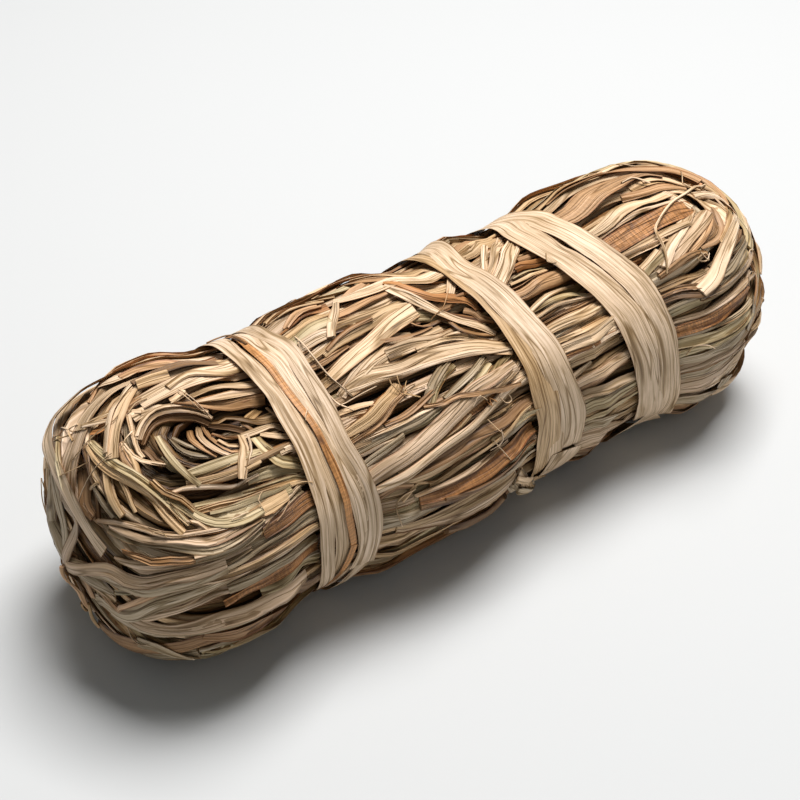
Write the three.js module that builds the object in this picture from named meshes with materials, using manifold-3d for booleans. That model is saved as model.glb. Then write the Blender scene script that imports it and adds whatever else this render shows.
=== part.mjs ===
// A hank of natural raffia: flat strips of dried palm leaf wound to and fro into a blunt-ended roll,
// lying on its side and bound with three raffia ties.
// Millimetres, +Z up, +X along the roll, the front of the roll towards -Y.
// The origin is on the surface that the hank lies on, under the middle of its box.
import * as THREE from "three";
import { mergeVertices } from "three/addons/utils/BufferGeometryUtils.js";
import Module from "manifold-3d";

const wasm = await Module();
wasm.setup();

const degrees = Math.PI / 180;

// Driving dimensions of the roll
const rollLength = 221; // of the packed strips, under the outermost ones
const rollRadius = 36.2;
const leftEndLength = 34; // of the rounded left end
const rightEndLength = 48; // of the rounded right end
const endBluntness = 2.9; // 2 is an ellipse, and more is squarer
const coilTilt = 18 * degrees; // the strips wind in flat loops, whose axis leans this far to the front
const restFlattening = 2.6; // how far the roll is flattened where it lies
const eyeDepth = 5; // of the hollow in the middle of the loops at each end
const eyeRadius = 8;
const furrowDepth = 0.9; // between two neighbouring strips of the packed roll

// Driving dimensions of the strips
const stripThickness = 1.1; // a leaf strip folded lengthwise
const ridgeShare = 0.72; // width of a folded strip's ridge, as a share of its width
const stripGap = 0.4; // clearance between one piece and the next
const taperLength = 7; // from a cut end to full width
const layingWindow = 3.5; // a strip starts to rise this far before what it crosses
const chordTolerance = 0.26; // of the straight steps that stand for a bent strip

// Driving dimensions of the ties. A tie's girth leans, by leanFront at the front and leanTop at the top.
const tieThickness = 1.3; // of a tie's second turn, which rides up on its first
const tieStep = 0.35; // from the second turn down to the first
const tieBevel = 1.2; // of a turn's rounded edge
const tieFurrow = 0.6; // depth of the slit between the turns, where they lie side by side
const knotSize = { along: 5, round: 3.6, height: 2.2 };
const waistDepth = 1.8; // how far a tie pulls the roll in
const waistMargin = 1; // past a tie's edge at full depth
const waistShoulder = 5; // along the roll, from full depth to none
const squeeze = { depth: 1, x: -12, reach: 55 }; // how far the ties draw in the middle of the roll
const ties = [
  { name: "left_tie", x: -55, width: 13.5, spread: 1.6, leanFront: 0.035, leanTop: 0.053, knot: 214 },
  { name: "middle_tie", x: 13.8, width: 12.3, spread: 1, leanFront: -0.048, leanTop: -0.108, knot: -44 },
  { name: "right_tie", x: 45.3, width: 15.5, spread: 2.2, leanFront: -0.193, leanTop: -0.144, knot: 206 },
];

const colours = {
  packed: "#b59a6d",
  straw: "#d3bd92",
  pale: "#dccaa6",
  tan: "#c4a473",
  green: "#b9ac80",
  rust: "#a9744a",
  tie: "#dcc6a0",
};

// The strips that wind round each end, from the underside up to the eye of the coil, by their height
// in the coil as an angle. The left ones meet the right ones under the middle tie.
const windings = [
  { latitude: -37, width: 7.5, colour: "tan" },
  { latitude: -23, width: 7.6, colour: "green" },
  { latitude: -9, width: 8, colour: "straw" },
  { latitude: 5, width: 7.8, colour: "tan" },
  { latitude: 19, width: 7.8, colour: "pale" },
  { latitude: 33, width: 7.3, colour: "straw" },
  { latitude: 47, width: 6.8, colour: "green" },
  { latitude: 60, width: 6, colour: "pale" },
  { latitude: 73, width: 6.2, colour: "straw" },
];
const seamGap = 0.008; // from the seam to a strip's end, as a share of the straight part
const seamStagger = 0.02; // from one strip's seam to the next one's, in the same share
const colourShift = 4; // from a strip's own colour to its partner's at the right end, down the list

// Strips that lie across the windings, through [x, angle round the roll] points.
const crossingStrips = [
  { name: "front_plain_strip_1", width: 5.5, colour: "pale", via: [[-56, 20], [-25, 34], [14, 40]] },
  { name: "front_plain_strip_2", width: 5, colour: "straw", via: [[-55, 10], [-24, 23], [-6, 26], [14, 30]] },
  { name: "front_rust_strip", width: 5, colour: "rust", via: [[-33, 3], [-14, 5], [13, 9]] },
  { name: "front_green_strip", width: 5, colour: "green", via: [[-26, 45], [-18, 48], [-5, 49]] },
  { name: "top_long_strip", width: 5.5, colour: "straw", via: [[-44, 57], [-25, 61], [-1, 58], [14, 55]] },
  { name: "top_broad_strip", width: 6, colour: "pale", via: [[-44, 68], [-27, 75], [-10, 82]] },
  { name: "top_folded_strip", width: 4.5, colour: "pale", via: [[-25, 113], [-12, 106], [14, 104]] },
  { name: "top_folded_leg", width: 4, colour: "straw", via: [[-25, 104], [-29, 96], [-35, 84]] },
  { name: "back_slanting_strip_1", width: 6, colour: "straw", via: [[-44, 146], [-22, 151], [0, 158]] },
  { name: "back_slanting_strip_2", width: 5.5, colour: "tan", via: [[-43, 184], [-22, 177], [0, 186]] },
  { name: "back_slanting_strip_3", width: 5.5, colour: "green", via: [[58, 152], [72, 146], [86, 148]] },
  { name: "between_ties_strip_1", width: 4.5, colour: "pale", via: [[22, 77], [27, 86], [32, 97]] },
  { name: "between_ties_strip_2", width: 5, colour: "tan", via: [[20, 56], [29, 53], [40, 52]] },
  { name: "right_top_strip", width: 6, colour: "pale", via: [[56, 94], [69, 98], [84, 100]] },
  { name: "right_rust_strip", width: 5, colour: "rust", via: [[50, 73], [70, 71], [83, 68]] },
  { name: "right_front_rust_strip", width: 4.5, colour: "rust", via: [[50, 19], [70, 22], [90, 24]] },
  { name: "right_front_strip", width: 5, colour: "green", via: [[57, -9], [71, 3], [86, 9]] },
  { name: "left_end_short_strip", width: 4, colour: "straw", via: [[-73, 65], [-77, 55], [-78, 45]] },
  { name: "left_end_upright_strip", width: 4.5, colour: "pale", via: [[-87, 107], [-95, 92], [-100, 79]] },
  { name: "left_end_top_strip", width: 5, colour: "tan", via: [[-62, 122], [-78, 122], [-90, 127]] },
];
// This one lies over top_folded_strip.
const curledStrip = {
  name: "top_curled_strip",
  width: 4,
  colour: "rust",
  via: [[-11, 103], [-5, 86], [2, 72]],
};
// This one stands clear of the left end in a bend, by up to its height. It goes round the end from the
// first latitude and turn to the last.
const standingStrip = {
  name: "left_end_standing_strip",
  width: 4.5,
  colour: "pale",
  height: 6,
  latitudes: [30, 22],
  turns: [3.1, 3.8],
};

// Worked out from the driving dimensions
const axisHeight = rollRadius - restFlattening;
const leftCentre = -rollLength / 2 + leftEndLength; // where the straight part begins
const rightCentre = rollLength / 2 - rightEndLength;

const clamp = (value, low, high) => Math.min(high, Math.max(low, value));
const mix = (a, b, share) => a + (b - a) * share;
const largest = (values) => Math.max(...values);
const average = (values) => values.reduce((a, b) => a + b) / values.length;
const tiny = 1e-6; // keeps a division by a radius safe on the axis
const sameSpot = 1e-3; // two corners nearer than this are one

// How far the roll is drawn in at x: gently all along the middle, and sharply under each tie.
const squeezeAt = (x) => squeeze.depth * Math.exp(-(((x - squeeze.x) / squeeze.reach) ** 2));
function drawnInAt(x) {
  const waists = ties.map((tie) => {
    const beyond = Math.abs(x - tie.x) - tie.width / 2 - waistMargin;
    return waistDepth * clamp(1 - beyond / waistShoulder, 0, 1);
  });
  return squeezeAt(x) + largest(waists);
}

// The roll's radius at x: straight between the ends, and a superellipse at each end.
function radiusAt(x) {
  const past = x < leftCentre ? (leftCentre - x) / leftEndLength : (x - rightCentre) / rightEndLength;
  return rollRadius * (1 - clamp(past, 0, 1) ** endBluntness) ** (1 / endBluntness);
}

// The outward normal of the plain roll at a point on it.
function normalAt({ x, y, z }) {
  const radius = Math.hypot(y, z) || tiny;
  const endLength = x < leftCentre ? leftEndLength : rightEndLength;
  const past = (Math.min(x - leftCentre, 0) + Math.max(x - rightCentre, 0)) / endLength;
  const along = (Math.sign(past) * Math.abs(past) ** (endBluntness - 1)) / endLength;
  const outward = (radius / rollRadius) ** (endBluntness - 1) / rollRadius;
  return new THREE.Vector3(along, (outward * y) / radius, (outward * z) / radius).normalize();
}

// A point on one of the coil's flat loops. Latitude is the loop's height in the coil, as an angle, and
// turn is the place on the loop: 0 to 1 along the front to the right, 1 to 2 round the right end,
// 2 to 3 along the back, and 3 to 4 round the left end.
function onLoop(latitude, turn) {
  const place = ((turn % 4) + 4) % 4;
  const side = rollRadius * Math.cos(latitude);
  const rise = rollRadius * Math.sin(latitude);
  const around = (place % 1) * Math.PI;
  const bulge = 1 - (Math.cos(latitude) * Math.sin(around)) ** 2;
  const reach = (1 - bulge ** (endBluntness / 2)) ** (1 / endBluntness);
  let x, across;
  if (place < 1) [x, across] = [mix(leftCentre, rightCentre, place), -side];
  else if (place < 2) [x, across] = [rightCentre + rightEndLength * reach, -side * Math.cos(around)];
  else if (place < 3) [x, across] = [mix(rightCentre, leftCentre, place - 2), side];
  else [x, across] = [leftCentre - leftEndLength * reach, side * Math.cos(around)];
  return new THREE.Vector3(
    x,
    across * Math.cos(coilTilt) - rise * Math.sin(coilTilt),
    across * Math.sin(coilTilt) + rise * Math.cos(coilTilt),
  );
}

// A point at x, and at an angle round the roll: 0 is the front, 90 degrees the top and 180 the back.
function onGirth(x, angle) {
  const radius = radiusAt(x);
  return new THREE.Vector3(x, -radius * Math.cos(angle), radius * Math.sin(angle));
}
const angleOf = (point) => Math.atan2(point.z, -point.y);

// How far the roll is flattened at an angle round it, where it lies on its underside.
function flatteningAt(x, angle) {
  const below = -Math.sin(angle);
  return below > 0 ? Math.max(0, radiusAt(x) - squeezeAt(x) - axisHeight / below) : 0;
}

// Sets a point of the roll down on its base. It is pressed in by the flattening of the surface that it
// lies on, at x, and its cross-section leans as the ties do.
const upright = { leanFront: 0, leanTop: 0 };
const leanStops = [{ x: -rollLength / 2, ...upright }, ...ties, { x: rollLength / 2, ...upright }];
function setDown(point, x = point.x) {
  const share = 1 - flatteningAt(x, angleOf(point)) / (Math.hypot(point.y, point.z) || tiny);
  const [y, z] = [point.y * share, point.z * share];
  const next = clamp(leanStops.findIndex((stop) => stop.x > point.x), 1, leanStops.length - 1);
  const [a, b] = [leanStops[next - 1], leanStops[next]];
  const between = clamp((point.x - a.x) / (b.x - a.x), 0, 1);
  const shift = mix(a.leanFront, b.leanFront, between) * y + mix(a.leanTop, b.leanTop, between) * z;
  return new THREE.Vector3(point.x + shift, y, Math.max(0, z + axisHeight));
}

function geometryOf(points, faces) {
  const geometry = new THREE.BufferGeometry();
  geometry.setAttribute("position", new THREE.BufferAttribute(new Float32Array(points.length * 3), 3));
  points.forEach((point, i) => geometry.attributes.position.setXYZ(i, point.x, point.y, point.z));
  geometry.setIndex(faces);
  return geometry;
}

// The faces between the rows of a grid. Each row closes on itself, and so may the rows.
function gridFaces(rows, columns, closed) {
  const faces = [];
  for (let i = 0; i < (closed ? rows : rows - 1); i++) {
    for (let j = 0; j < columns; j++) {
      const [here, next] = [i * columns, ((i + 1) % rows) * columns];
      const beside = (j + 1) % columns;
      faces.push(here + j, here + beside, next + beside, here + j, next + beside, next + j);
    }
  }
  return faces;
}

// The packed strips inside the hank: one solid, with a furrow between each strip and the next, a hollow
// eye in the loops at each end, a waist under each tie, and a flat underside.
const latitudeSteps = 18;
const endSteps = 10;
const stationMargin = 1; // least distance from a station to the end of the straight part
const middleStations = [-33, -16]; // two more, in the long stretch between the left tie and the middle one
function straightStations() {
  const edges = ties.flatMap((tie) => {
    const half = tie.width / 2 + waistMargin;
    return [-half - waistShoulder, -half, half, half + waistShoulder].map((from) => tie.x + from);
  });
  const inside = edges.filter((x) => x > leftCentre + stationMargin && x < rightCentre - stationMargin);
  const stations = [leftCentre, ...inside, ...middleStations].sort((a, b) => a - b);
  return stations.map((x) => (x - leftCentre) / (rightCentre - leftCentre));
}

function loopStations() {
  const straight = straightStations();
  const back = straight.slice(1).reverse();
  const ends = Array.from({ length: endSteps }, (_, i) => i / endSteps);
  return [
    ...straight,
    ...ends.map((share) => 1 + share),
    2,
    ...back.map((share) => 3 - share),
    ...ends.map((share) => 3 + share),
  ];
}

function packedPoint(latitude, turn, furrow) {
  const point = onLoop(latitude, turn);
  const x = point.x;
  const pastEnd = Math.min(x - leftCentre, 0) + Math.max(x - rightCentre, 0);
  const fromEye = Math.hypot(pastEnd, rollRadius * Math.cos(latitude));
  const inEye = pastEnd !== 0 && latitude > 0;
  const eye = inEye ? eyeDepth * Math.exp(-((fromEye / eyeRadius) ** 2)) : 0;
  const lying = flatteningAt(x, angleOf(point)) > 0;
  return setDown(point.addScaledVector(normalAt(point), -drawnInAt(x) - eye - (lying ? 0 : furrow)), x);
}

function packedStrips() {
  const stations = loopStations();
  const rows = Array.from({ length: latitudeSteps + 1 }, (_, k) => {
    const latitude = ((k / latitudeSteps) * 2 - 1) * 90 * degrees;
    return stations.map((turn) => packedPoint(latitude, turn, k % 2 ? furrowDepth : 0));
  });
  const faces = gridFaces(rows.length, stations.length, false);
  return withoutFlatFaces(mergeVertices(geometryOf(rows.flat(), faces), sameSpot));
}

// The loops close up at the poles, where some faces have two corners in one place: they are left out.
function withoutFlatFaces(geometry) {
  const corners = geometry.index.array;
  const kept = [];
  for (let i = 0; i < corners.length; i += 3) {
    const [a, b, c] = corners.slice(i, i + 3);
    if (a !== b && b !== c && a !== c) kept.push(a, b, c);
  }
  geometry.setIndex(kept);
  return geometry;
}

// How high the pieces laid so far reach over the plain roll, by small cells of its surface. A mark
// reaches into the neighbouring cells too.
const cellSize = 1.5;
const laid = new Map();
const steps = [-1, 0, 1];
const neighbours = steps.flatMap((i) => steps.flatMap((j) => steps.map((k) => [i, j, k])));
const cellOf = ({ x, y, z }, [i, j, k] = [0, 0, 0]) =>
  [Math.round(x / cellSize) + i, Math.round(y / cellSize) + j, Math.round(z / cellSize) + k].join();
const heightAt = (point) => laid.get(cellOf(point)) ?? 0;
function mark({ point, height }) {
  for (const neighbour of neighbours) {
    const cell = cellOf(point, neighbour);
    laid.set(cell, Math.max(laid.get(cell) ?? 0, height));
  }
}

// The plain roll's surface at a sideways distance from a point of a route. On the blunt face of an end
// the roll is nearly flat, so that there the point only moves sideways.
const endFacing = 0.8; // x part of the normal, from which the surface counts as an end's face
function beside({ point, across, out }, distance) {
  const moved = point.clone().addScaledVector(across, distance);
  if (Math.abs(out.x) > endFacing) return moved;
  return onGirth(moved.x, angleOf(moved));
}

// Samples a route at even steps, with the directions along, across and out at each sample.
const sampleStep = 1.5;
const roughSteps = 200;
const lengthSteps = 800; // for measuring a route's length
function sampled(route, closed) {
  const rough = Array.from({ length: closed ? roughSteps : roughSteps + 1 }, (_, i) => route(i / roughSteps));
  const curve = new THREE.CatmullRomCurve3(rough, closed);
  curve.arcLengthDivisions = lengthSteps;
  const count = Math.round(curve.getLength() / sampleStep);
  return Array.from({ length: closed ? count : count + 1 }, (_, i) => {
    const point = curve.getPointAt(i / count);
    const along = curve.getTangentAt(i / count);
    const across = new THREE.Vector3().crossVectors(normalAt(point), along).normalize();
    return { point, across, out: new THREE.Vector3().crossVectors(along, across).normalize() };
  });
}

// The height of a piece over the roll: the highest thing under it, first spread and then averaged along
// the piece, so that it never dips into what it crosses.
const sideMargin = 1;
function restingHeights(samples, width, closed) {
  const reachAcross = width / 2 + sideMargin;
  const lanes = Math.ceil(reachAcross / cellSize);
  const offsets = Array.from({ length: 2 * lanes + 1 }, (_, j) => (j / lanes - 1) * reachAcross);
  const highest = samples.map((sample) => largest(offsets.map((offset) => heightAt(beside(sample, offset)))));
  const reach = Math.round(layingWindow / sampleStep);
  const last = samples.length - 1;
  const at = (list, i) => (closed ? list.at(i % list.length) : list[clamp(i, 0, last)]);
  const windowed = (list, combine) =>
    list.map((_, i) => combine(Array.from({ length: 2 * reach + 1 }, (__, k) => at(list, i + k - reach))));
  return windowed(windowed(highest, largest), average).map((height) => height + stripGap);
}

// Keeps only the samples that a straight step would miss by more than the tolerance.
function keepBends(path, from, to, kept) {
  const line = new THREE.Line3(path[from], path[to]);
  const nearest = new THREE.Vector3();
  let worst = chordTolerance;
  let bend = 0;
  for (let i = from + 1; i < to; i++) {
    const miss = line.closestPointToPoint(path[i], true, nearest).distanceTo(path[i]);
    if (miss > worst) [worst, bend] = [miss, i];
  }
  if (!bend) return;
  kept.add(bend);
  keepBends(path, from, bend, kept);
  keepBends(path, bend, to, kept);
}

// The section of a strip folded lengthwise: flat below, with a narrower ridge above.
function foldedSection(halfWidth) {
  const ridge = halfWidth * ridgeShare;
  return [[-halfWidth, 0], [halfWidth, 0], [ridge, stripThickness], [-ridge, stripThickness]];
}

// Lays one piece on the roll. Its marks say how high it reaches, and are made once every piece that it is
// laid together with has found its own height.
function layPiece(settings) {
  const { route, width, thickness = stripThickness, section = foldedSection } = settings;
  const { closed = false, lift = () => 0, endWidth = 0.5 } = settings;
  const samples = sampled(route, closed);
  const heights = restingHeights(samples, width, closed);
  const last = samples.length - 1;
  const feet = samples.map(({ point, out }, i) =>
    point.clone().addScaledVector(out, heights[i] + lift(i / last) - drawnInAt(point.x)),
  );
  const taper = Math.round(taperLength / sampleStep);
  const tapers = !closed && endWidth < 1 && last > 3 * taper;
  const stops = tapers ? [0, taper, last - taper, last] : [0, Math.round(last / 2), last];
  const kept = new Set(stops);
  stops.slice(1).forEach((stop, k) => keepBends(feet, stops[k], stop, kept));
  const rings = [...kept]
    .sort((a, b) => a - b)
    .map((i) => {
      const fromEnd = clamp(Math.min(i, last - i) / taper, 0, 1);
      const halfWidth = (width / 2) * (tapers ? mix(endWidth, 1, fromEnd) : 1);
      const { point, across, out } = samples[i];
      const corner = ([side, up]) => feet[i].clone().addScaledVector(across, side).addScaledVector(out, up);
      return section(halfWidth, i / last).map((place) => setDown(corner(place), point.x));
    });
  const lanes = Math.ceil(width / 2 / cellSize);
  const marks = samples.flatMap((sample, i) =>
    Array.from({ length: 2 * lanes + 1 }, (_, j) => {
      const distance = ((j / lanes - 1) * width) / 2;
      const bow = distance ** 2 / (2 * rollRadius);
      return { point: beside(sample, distance), height: heights[i] + bow + thickness };
    }),
  );
  return { solid: solidFromRings(rings, closed), marks };
}

// A closed solid from a piece's sections. Its ends are capped with fans unless it closes on itself.
function solidFromRings(rings, closed) {
  const sides = rings[0].length;
  const faces = gridFaces(rings.length, sides, closed);
  const end = (rings.length - 1) * sides;
  for (let j = 1; j < sides - 1 && !closed; j++) faces.push(0, j + 1, j, end, end + j, end + j + 1);
  return geometryOf(rings.flat(), faces);
}

// Pieces laid together don't cross one another, and rest only on what was there before them.
function layTogether(pieces) {
  const results = pieces.map(layPiece);
  results.flatMap(({ marks }) => marks).forEach(mark);
  return results.map(({ solid }) => solid);
}

function windingStrips() {
  const middleSeam = (ties[1].x - leftCentre) / (rightCentre - leftCentre);
  return windings.flatMap(({ latitude, width, colour }, i) => {
    const seam = middleSeam + ((i % 3) - 1) * seamStagger;
    const rightTurn = [seam + seamGap, 3 - seam - seamGap];
    const leftTurn = [3 - seam + seamGap, 4 + seam - seamGap];
    const along = (turn) => (share) => onLoop(latitude * degrees, mix(...turn, share));
    const settings = { width, endWidth: 1 };
    const otherColour = windings[(i + colourShift) % windings.length].colour;
    return [
      { ...settings, name: `left_winding_strip_${i + 1}`, colour, route: along(leftTurn) },
      { ...settings, name: `right_winding_strip_${i + 1}`, colour: otherColour, route: along(rightTurn) },
    ];
  });
}

function crossing({ via, ...strip }) {
  const curve = new THREE.CatmullRomCurve3(via.map(([x, angle]) => new THREE.Vector3(x, angle, 0)));
  const route = (share) => {
    const { x, y: angle } = curve.getPoint(share);
    return onGirth(x, angle * degrees);
  };
  return { ...strip, route };
}

function standing(strip) {
  const route = (share) => onLoop(mix(...strip.latitudes, share) * degrees, mix(...strip.turns, share));
  const lift = (share) => strip.height * Math.sin(Math.PI * share) ** 2;
  return { ...strip, route, lift };
}

// One tie: a strip that goes round twice, its turns side by side and knotted. They part at the top,
// which is a quarter of the way round.
const innerBevel = 0.5;
const slitFloor = 0.15; // thickness left at the bottom of the slit, where the turns part
function tieSection(tie) {
  return (halfWidth, share) => {
    const parted = Math.max(0, Math.sin(share * 2 * Math.PI)) ** 2;
    const inner = mix(innerBevel, tie.spread, parted);
    const valley = mix(tieThickness - tieStep - tieFurrow, slitFloor, parted);
    const side = halfWidth - mix(tie.spread / 2, 0, parted);
    return [
      [-side, 0],
      [side, 0],
      [side - tieBevel, tieThickness],
      [inner, tieThickness],
      [0, valley],
      [-inner, tieThickness - tieStep],
      [-side + tieBevel, tieThickness - tieStep],
    ];
  };
}

function tieSolid(tie) {
  const turns = {
    route: (share) => onGirth(tie.x, share * 2 * Math.PI),
    width: tie.width + tie.spread,
    thickness: tieThickness,
    section: tieSection(tie),
    closed: true,
  };
  return joined([...layTogether([turns]), knotLump(tie)]);
}

// The knot: a lump where the strip passes round itself, half sunk in the tie.
function knotLump(tie) {
  const angle = tie.knot * degrees;
  const base = onGirth(tie.x, angle);
  const out = normalAt(base);
  const shape = new THREE.Matrix4().makeBasis(
    new THREE.Vector3(knotSize.along, 0, 0),
    new THREE.Vector3(0, Math.sin(angle), Math.cos(angle)).multiplyScalar(knotSize.round),
    out.clone().multiplyScalar(knotSize.height),
  );
  const centre = setDown(base.addScaledVector(out, heightAt(base) - drawnInAt(tie.x) + stripGap));
  return new THREE.IcosahedronGeometry(1, 1).applyMatrix4(shape).translate(...centre.toArray());
}

function manifoldOf(geometry) {
  const bare = geometry.clone();
  bare.deleteAttribute("normal");
  bare.deleteAttribute("uv");
  const merged = mergeVertices(bare, sameSpot);
  const mesh = new wasm.Mesh({
    numProp: 3,
    vertProperties: new Float32Array(merged.attributes.position.array),
    triVerts: new Uint32Array(merged.index.array),
  });
  return new wasm.Manifold(mesh);
}

function joined(geometries) {
  const mesh = geometries.map(manifoldOf).reduce((a, b) => a.add(b)).getMesh();
  const geometry = new THREE.BufferGeometry();
  geometry.setAttribute("position", new THREE.BufferAttribute(mesh.vertProperties, 3));
  geometry.setIndex(Array.from(mesh.triVerts));
  return geometry;
}

const hank = new THREE.Group();
function add(name, geometry, colour) {
  const material = new THREE.MeshStandardMaterial({ color: colours[colour], roughness: 0.7, metalness: 0 });
  const mesh = new THREE.Mesh(geometry, material);
  mesh.name = name;
  hank.add(mesh);
}

add("packed_strips", packedStrips(), "packed");
const layers = [
  windingStrips(),
  [...crossingStrips.map(crossing), standing(standingStrip)],
  [crossing(curledStrip)],
];
for (const layer of layers) {
  layTogether(layer).forEach((solid, i) => add(layer[i].name, solid, layer[i].colour));
}
for (const tie of ties) add(tie.name, tieSolid(tie), "tie");

const middle = new THREE.Box3().setFromObject(hank).getCenter(new THREE.Vector3());
hank.position.set(-middle.x, -middle.y, 0);

export default hank;
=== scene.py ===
# A hank of natural raffia lying on a pale floor: dried palm leaf strips wound to and fro into a roll,
# with three raffia ties round it. All sizes are in millimetres until a mesh is made.
import bpy
import numpy as np
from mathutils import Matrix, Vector


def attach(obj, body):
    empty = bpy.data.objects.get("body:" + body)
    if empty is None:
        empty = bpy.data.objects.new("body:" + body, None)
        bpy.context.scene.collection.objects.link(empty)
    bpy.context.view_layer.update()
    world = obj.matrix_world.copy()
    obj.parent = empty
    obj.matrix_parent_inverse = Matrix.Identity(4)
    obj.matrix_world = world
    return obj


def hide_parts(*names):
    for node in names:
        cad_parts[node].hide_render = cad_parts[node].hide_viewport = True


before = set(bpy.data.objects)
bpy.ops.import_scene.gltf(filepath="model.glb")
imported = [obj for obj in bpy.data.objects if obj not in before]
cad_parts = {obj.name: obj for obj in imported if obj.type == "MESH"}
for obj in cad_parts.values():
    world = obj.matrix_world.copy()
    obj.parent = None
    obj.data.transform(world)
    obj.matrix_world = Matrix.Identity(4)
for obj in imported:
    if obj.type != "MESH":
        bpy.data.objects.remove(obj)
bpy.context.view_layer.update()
dice = np.random.default_rng(5)

# where the photo was taken from
cameraLook = {
    "elevation": 38.0,
    "azimuth": -37.8,
    "distance": 480.0,
    "target": (-8.1, 0.3, 35.2),
    "lens": 78.75,
    "sensor": 36,
}
rise, turned = np.radians(cameraLook["elevation"]), np.radians(cameraLook["azimuth"])
towardsCamera = np.array([np.sin(turned) * np.cos(rise), -np.cos(turned) * np.cos(rise), np.sin(rise)])

# the plain roll that every strip lies on, in millimetres
roll = {
    "length": 221.0,
    "radius": 36.2,
    "leftEnd": 34.0,  # length of each rounded end
    "rightEnd": 48.0,
    "bluntness": 2.9,  # 2 is an ellipse, more is squarer
    "coilTilt": np.radians(18),  # the loops lean this far to the front
    "flattening": 2.6,  # where it lies
    "squeeze": (1.0, -12.0, 55.0),  # depth, place and reach of the long waist
    "shift": (3.155, 0.333, 0.0),  # to the middle of the box
    "deepest": -6.3,  # of the strips that can be seen, under the plain roll
    "tall": (0.6, 0.32),  # what reaches higher than this over the plain roll is pressed down by this share
    "lying": (0.72, 0.25, 0.42),  # from this share of the radius down, over this share, pressed by up to this
    "sagging": (0.78, 12.0),  # the lowest millimetres sink by up to this, below this height
    "floorGap": 0.03,
}
ties = [
    {"x": -55.0, "width": 13.5, "leanFront": 0.035, "leanTop": 0.053},
    {"x": 13.8, "width": 12.3, "leanFront": -0.048, "leanTop": -0.108},
    {"x": 45.3, "width": 15.5, "leanFront": -0.193, "leanTop": -0.144},
]
waist = {"depth": 1.8, "margin": 1.0, "shoulder": 12.0, "press": 0.88}
bluntness = roll["bluntness"]
leftCentre = -roll["length"] / 2 + roll["leftEnd"]
rightCentre = roll["length"] / 2 - roll["rightEnd"]
axisHeight = roll["radius"] - roll["flattening"]
tiny = 1e-6


# how far x is past the straight part, with its sign, and the length of the end that it is in
def pastStraight(x):
    past = np.minimum(x - leftCentre, 0) + np.maximum(x - rightCentre, 0)
    return past, np.where(x < leftCentre, roll["leftEnd"], roll["rightEnd"])


# the radius at x, by the formula of the plain roll below
def radiusAt(x):
    past, end = pastStraight(x)
    return roll["radius"] * np.maximum(1 - (np.abs(past) / end).clip(0, 1) ** bluntness, 0) ** (1 / bluntness)


# slides points onto the plain roll, which is (past / end) ^ bluntness + (r / radius) ^ bluntness = 1
def ontoRoll(points):
    past, end = pastStraight(points[..., 0])
    r = np.hypot(points[..., 1], points[..., 2])
    size = ((np.abs(past) / end) ** bluntness + (r / roll["radius"]) ** bluntness) ** (1 / bluntness)
    size = np.maximum(size, tiny)
    slid = points / size[..., None]
    slid[..., 0] = points[..., 0] - past + past / size
    return slid


# the gradient of the same formula, made one long
def rollNormal(points):
    past, end = pastStraight(points[..., 0])
    r = np.hypot(points[..., 1], points[..., 2]) + tiny
    alongX = np.sign(past) * (np.abs(past) / end) ** (bluntness - 1) / end
    radial = (r / roll["radius"]) ** (bluntness - 1) / roll["radius"] / r
    normal = np.stack([alongX, radial * points[..., 1], radial * points[..., 2]], -1)
    return unit(normal)


def unit(vectors):
    return vectors / np.maximum(np.linalg.norm(vectors, axis=-1, keepdims=True), tiny)


# 1 under a tie, falling to 0 over its shoulders
def underTie(x):
    shares = [1 - (np.abs(x - t["x"]) - t["width"] / 2 - waist["margin"]) / waist["shoulder"] for t in ties]
    share = np.clip(np.max(shares, axis=0), 0, 1)
    return share * share * (3 - 2 * share)


def squeezeAt(x):
    depth, middle, reach = roll["squeeze"]
    return depth * np.exp(-(((x - middle) / reach) ** 2))


# each cross-section leans as the ties do
leanX = [-roll["length"] / 2, *[t["x"] for t in ties], roll["length"] / 2]
leanFront = [0, *[t["leanFront"] for t in ties], 0]
leanTop = [0, *[t["leanTop"] for t in ties], 0]


# Sets points down on the floor: y and z shrink towards the axis until no point is under it, and then the
# section leans.
def setDown(points, x):
    radius = radiusAt(x)
    r = np.hypot(points[..., 1], points[..., 2]) + tiny
    below = np.maximum(-points[..., 2] / r, tiny)
    flat = np.maximum(0, radius - squeezeAt(x) - axisHeight / below)
    y, z = points[..., 1] * (1 - flat / r), points[..., 2] * (1 - flat / r)
    lean = np.interp(points[..., 0], leanX, leanFront) * y + np.interp(points[..., 0], leanX, leanTop) * z
    shiftX, shiftY, _ = roll["shift"]
    z = z + axisHeight
    sag, sagHeight = roll["sagging"]
    z = z - sag * np.clip(1 - z / sagHeight, 0, 1)
    return np.stack([points[..., 0] + lean + shiftX, y + shiftY, np.maximum(z, roll["floorGap"])], -1)


# The real place of a point at a height over its foot on the plain roll. Heights count from the deepest
# strips, and are pressed together under a tie and where the roll lies.
def placed(feet, height):
    x = feet[..., 0]
    lowFrom, lowOver, lowPress = roll["lying"]
    lying = np.clip((-feet[..., 2] / roll["radius"] - lowFrom) / lowOver, 0, 1)
    share = (1 - (1 - waist["press"]) * underTie(x)) * (1 - lowPress * lying)
    tallFrom, tallPress = roll["tall"]
    height = height - tallPress * np.maximum(height - tallFrom, 0)
    pressed = roll["deepest"] + (height - roll["deepest"]) * share
    drawnIn = squeezeAt(x) + waist["depth"] * underTie(x)
    return setDown(feet + rollNormal(feet) * (pressed - drawnIn)[..., None], x)


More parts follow.
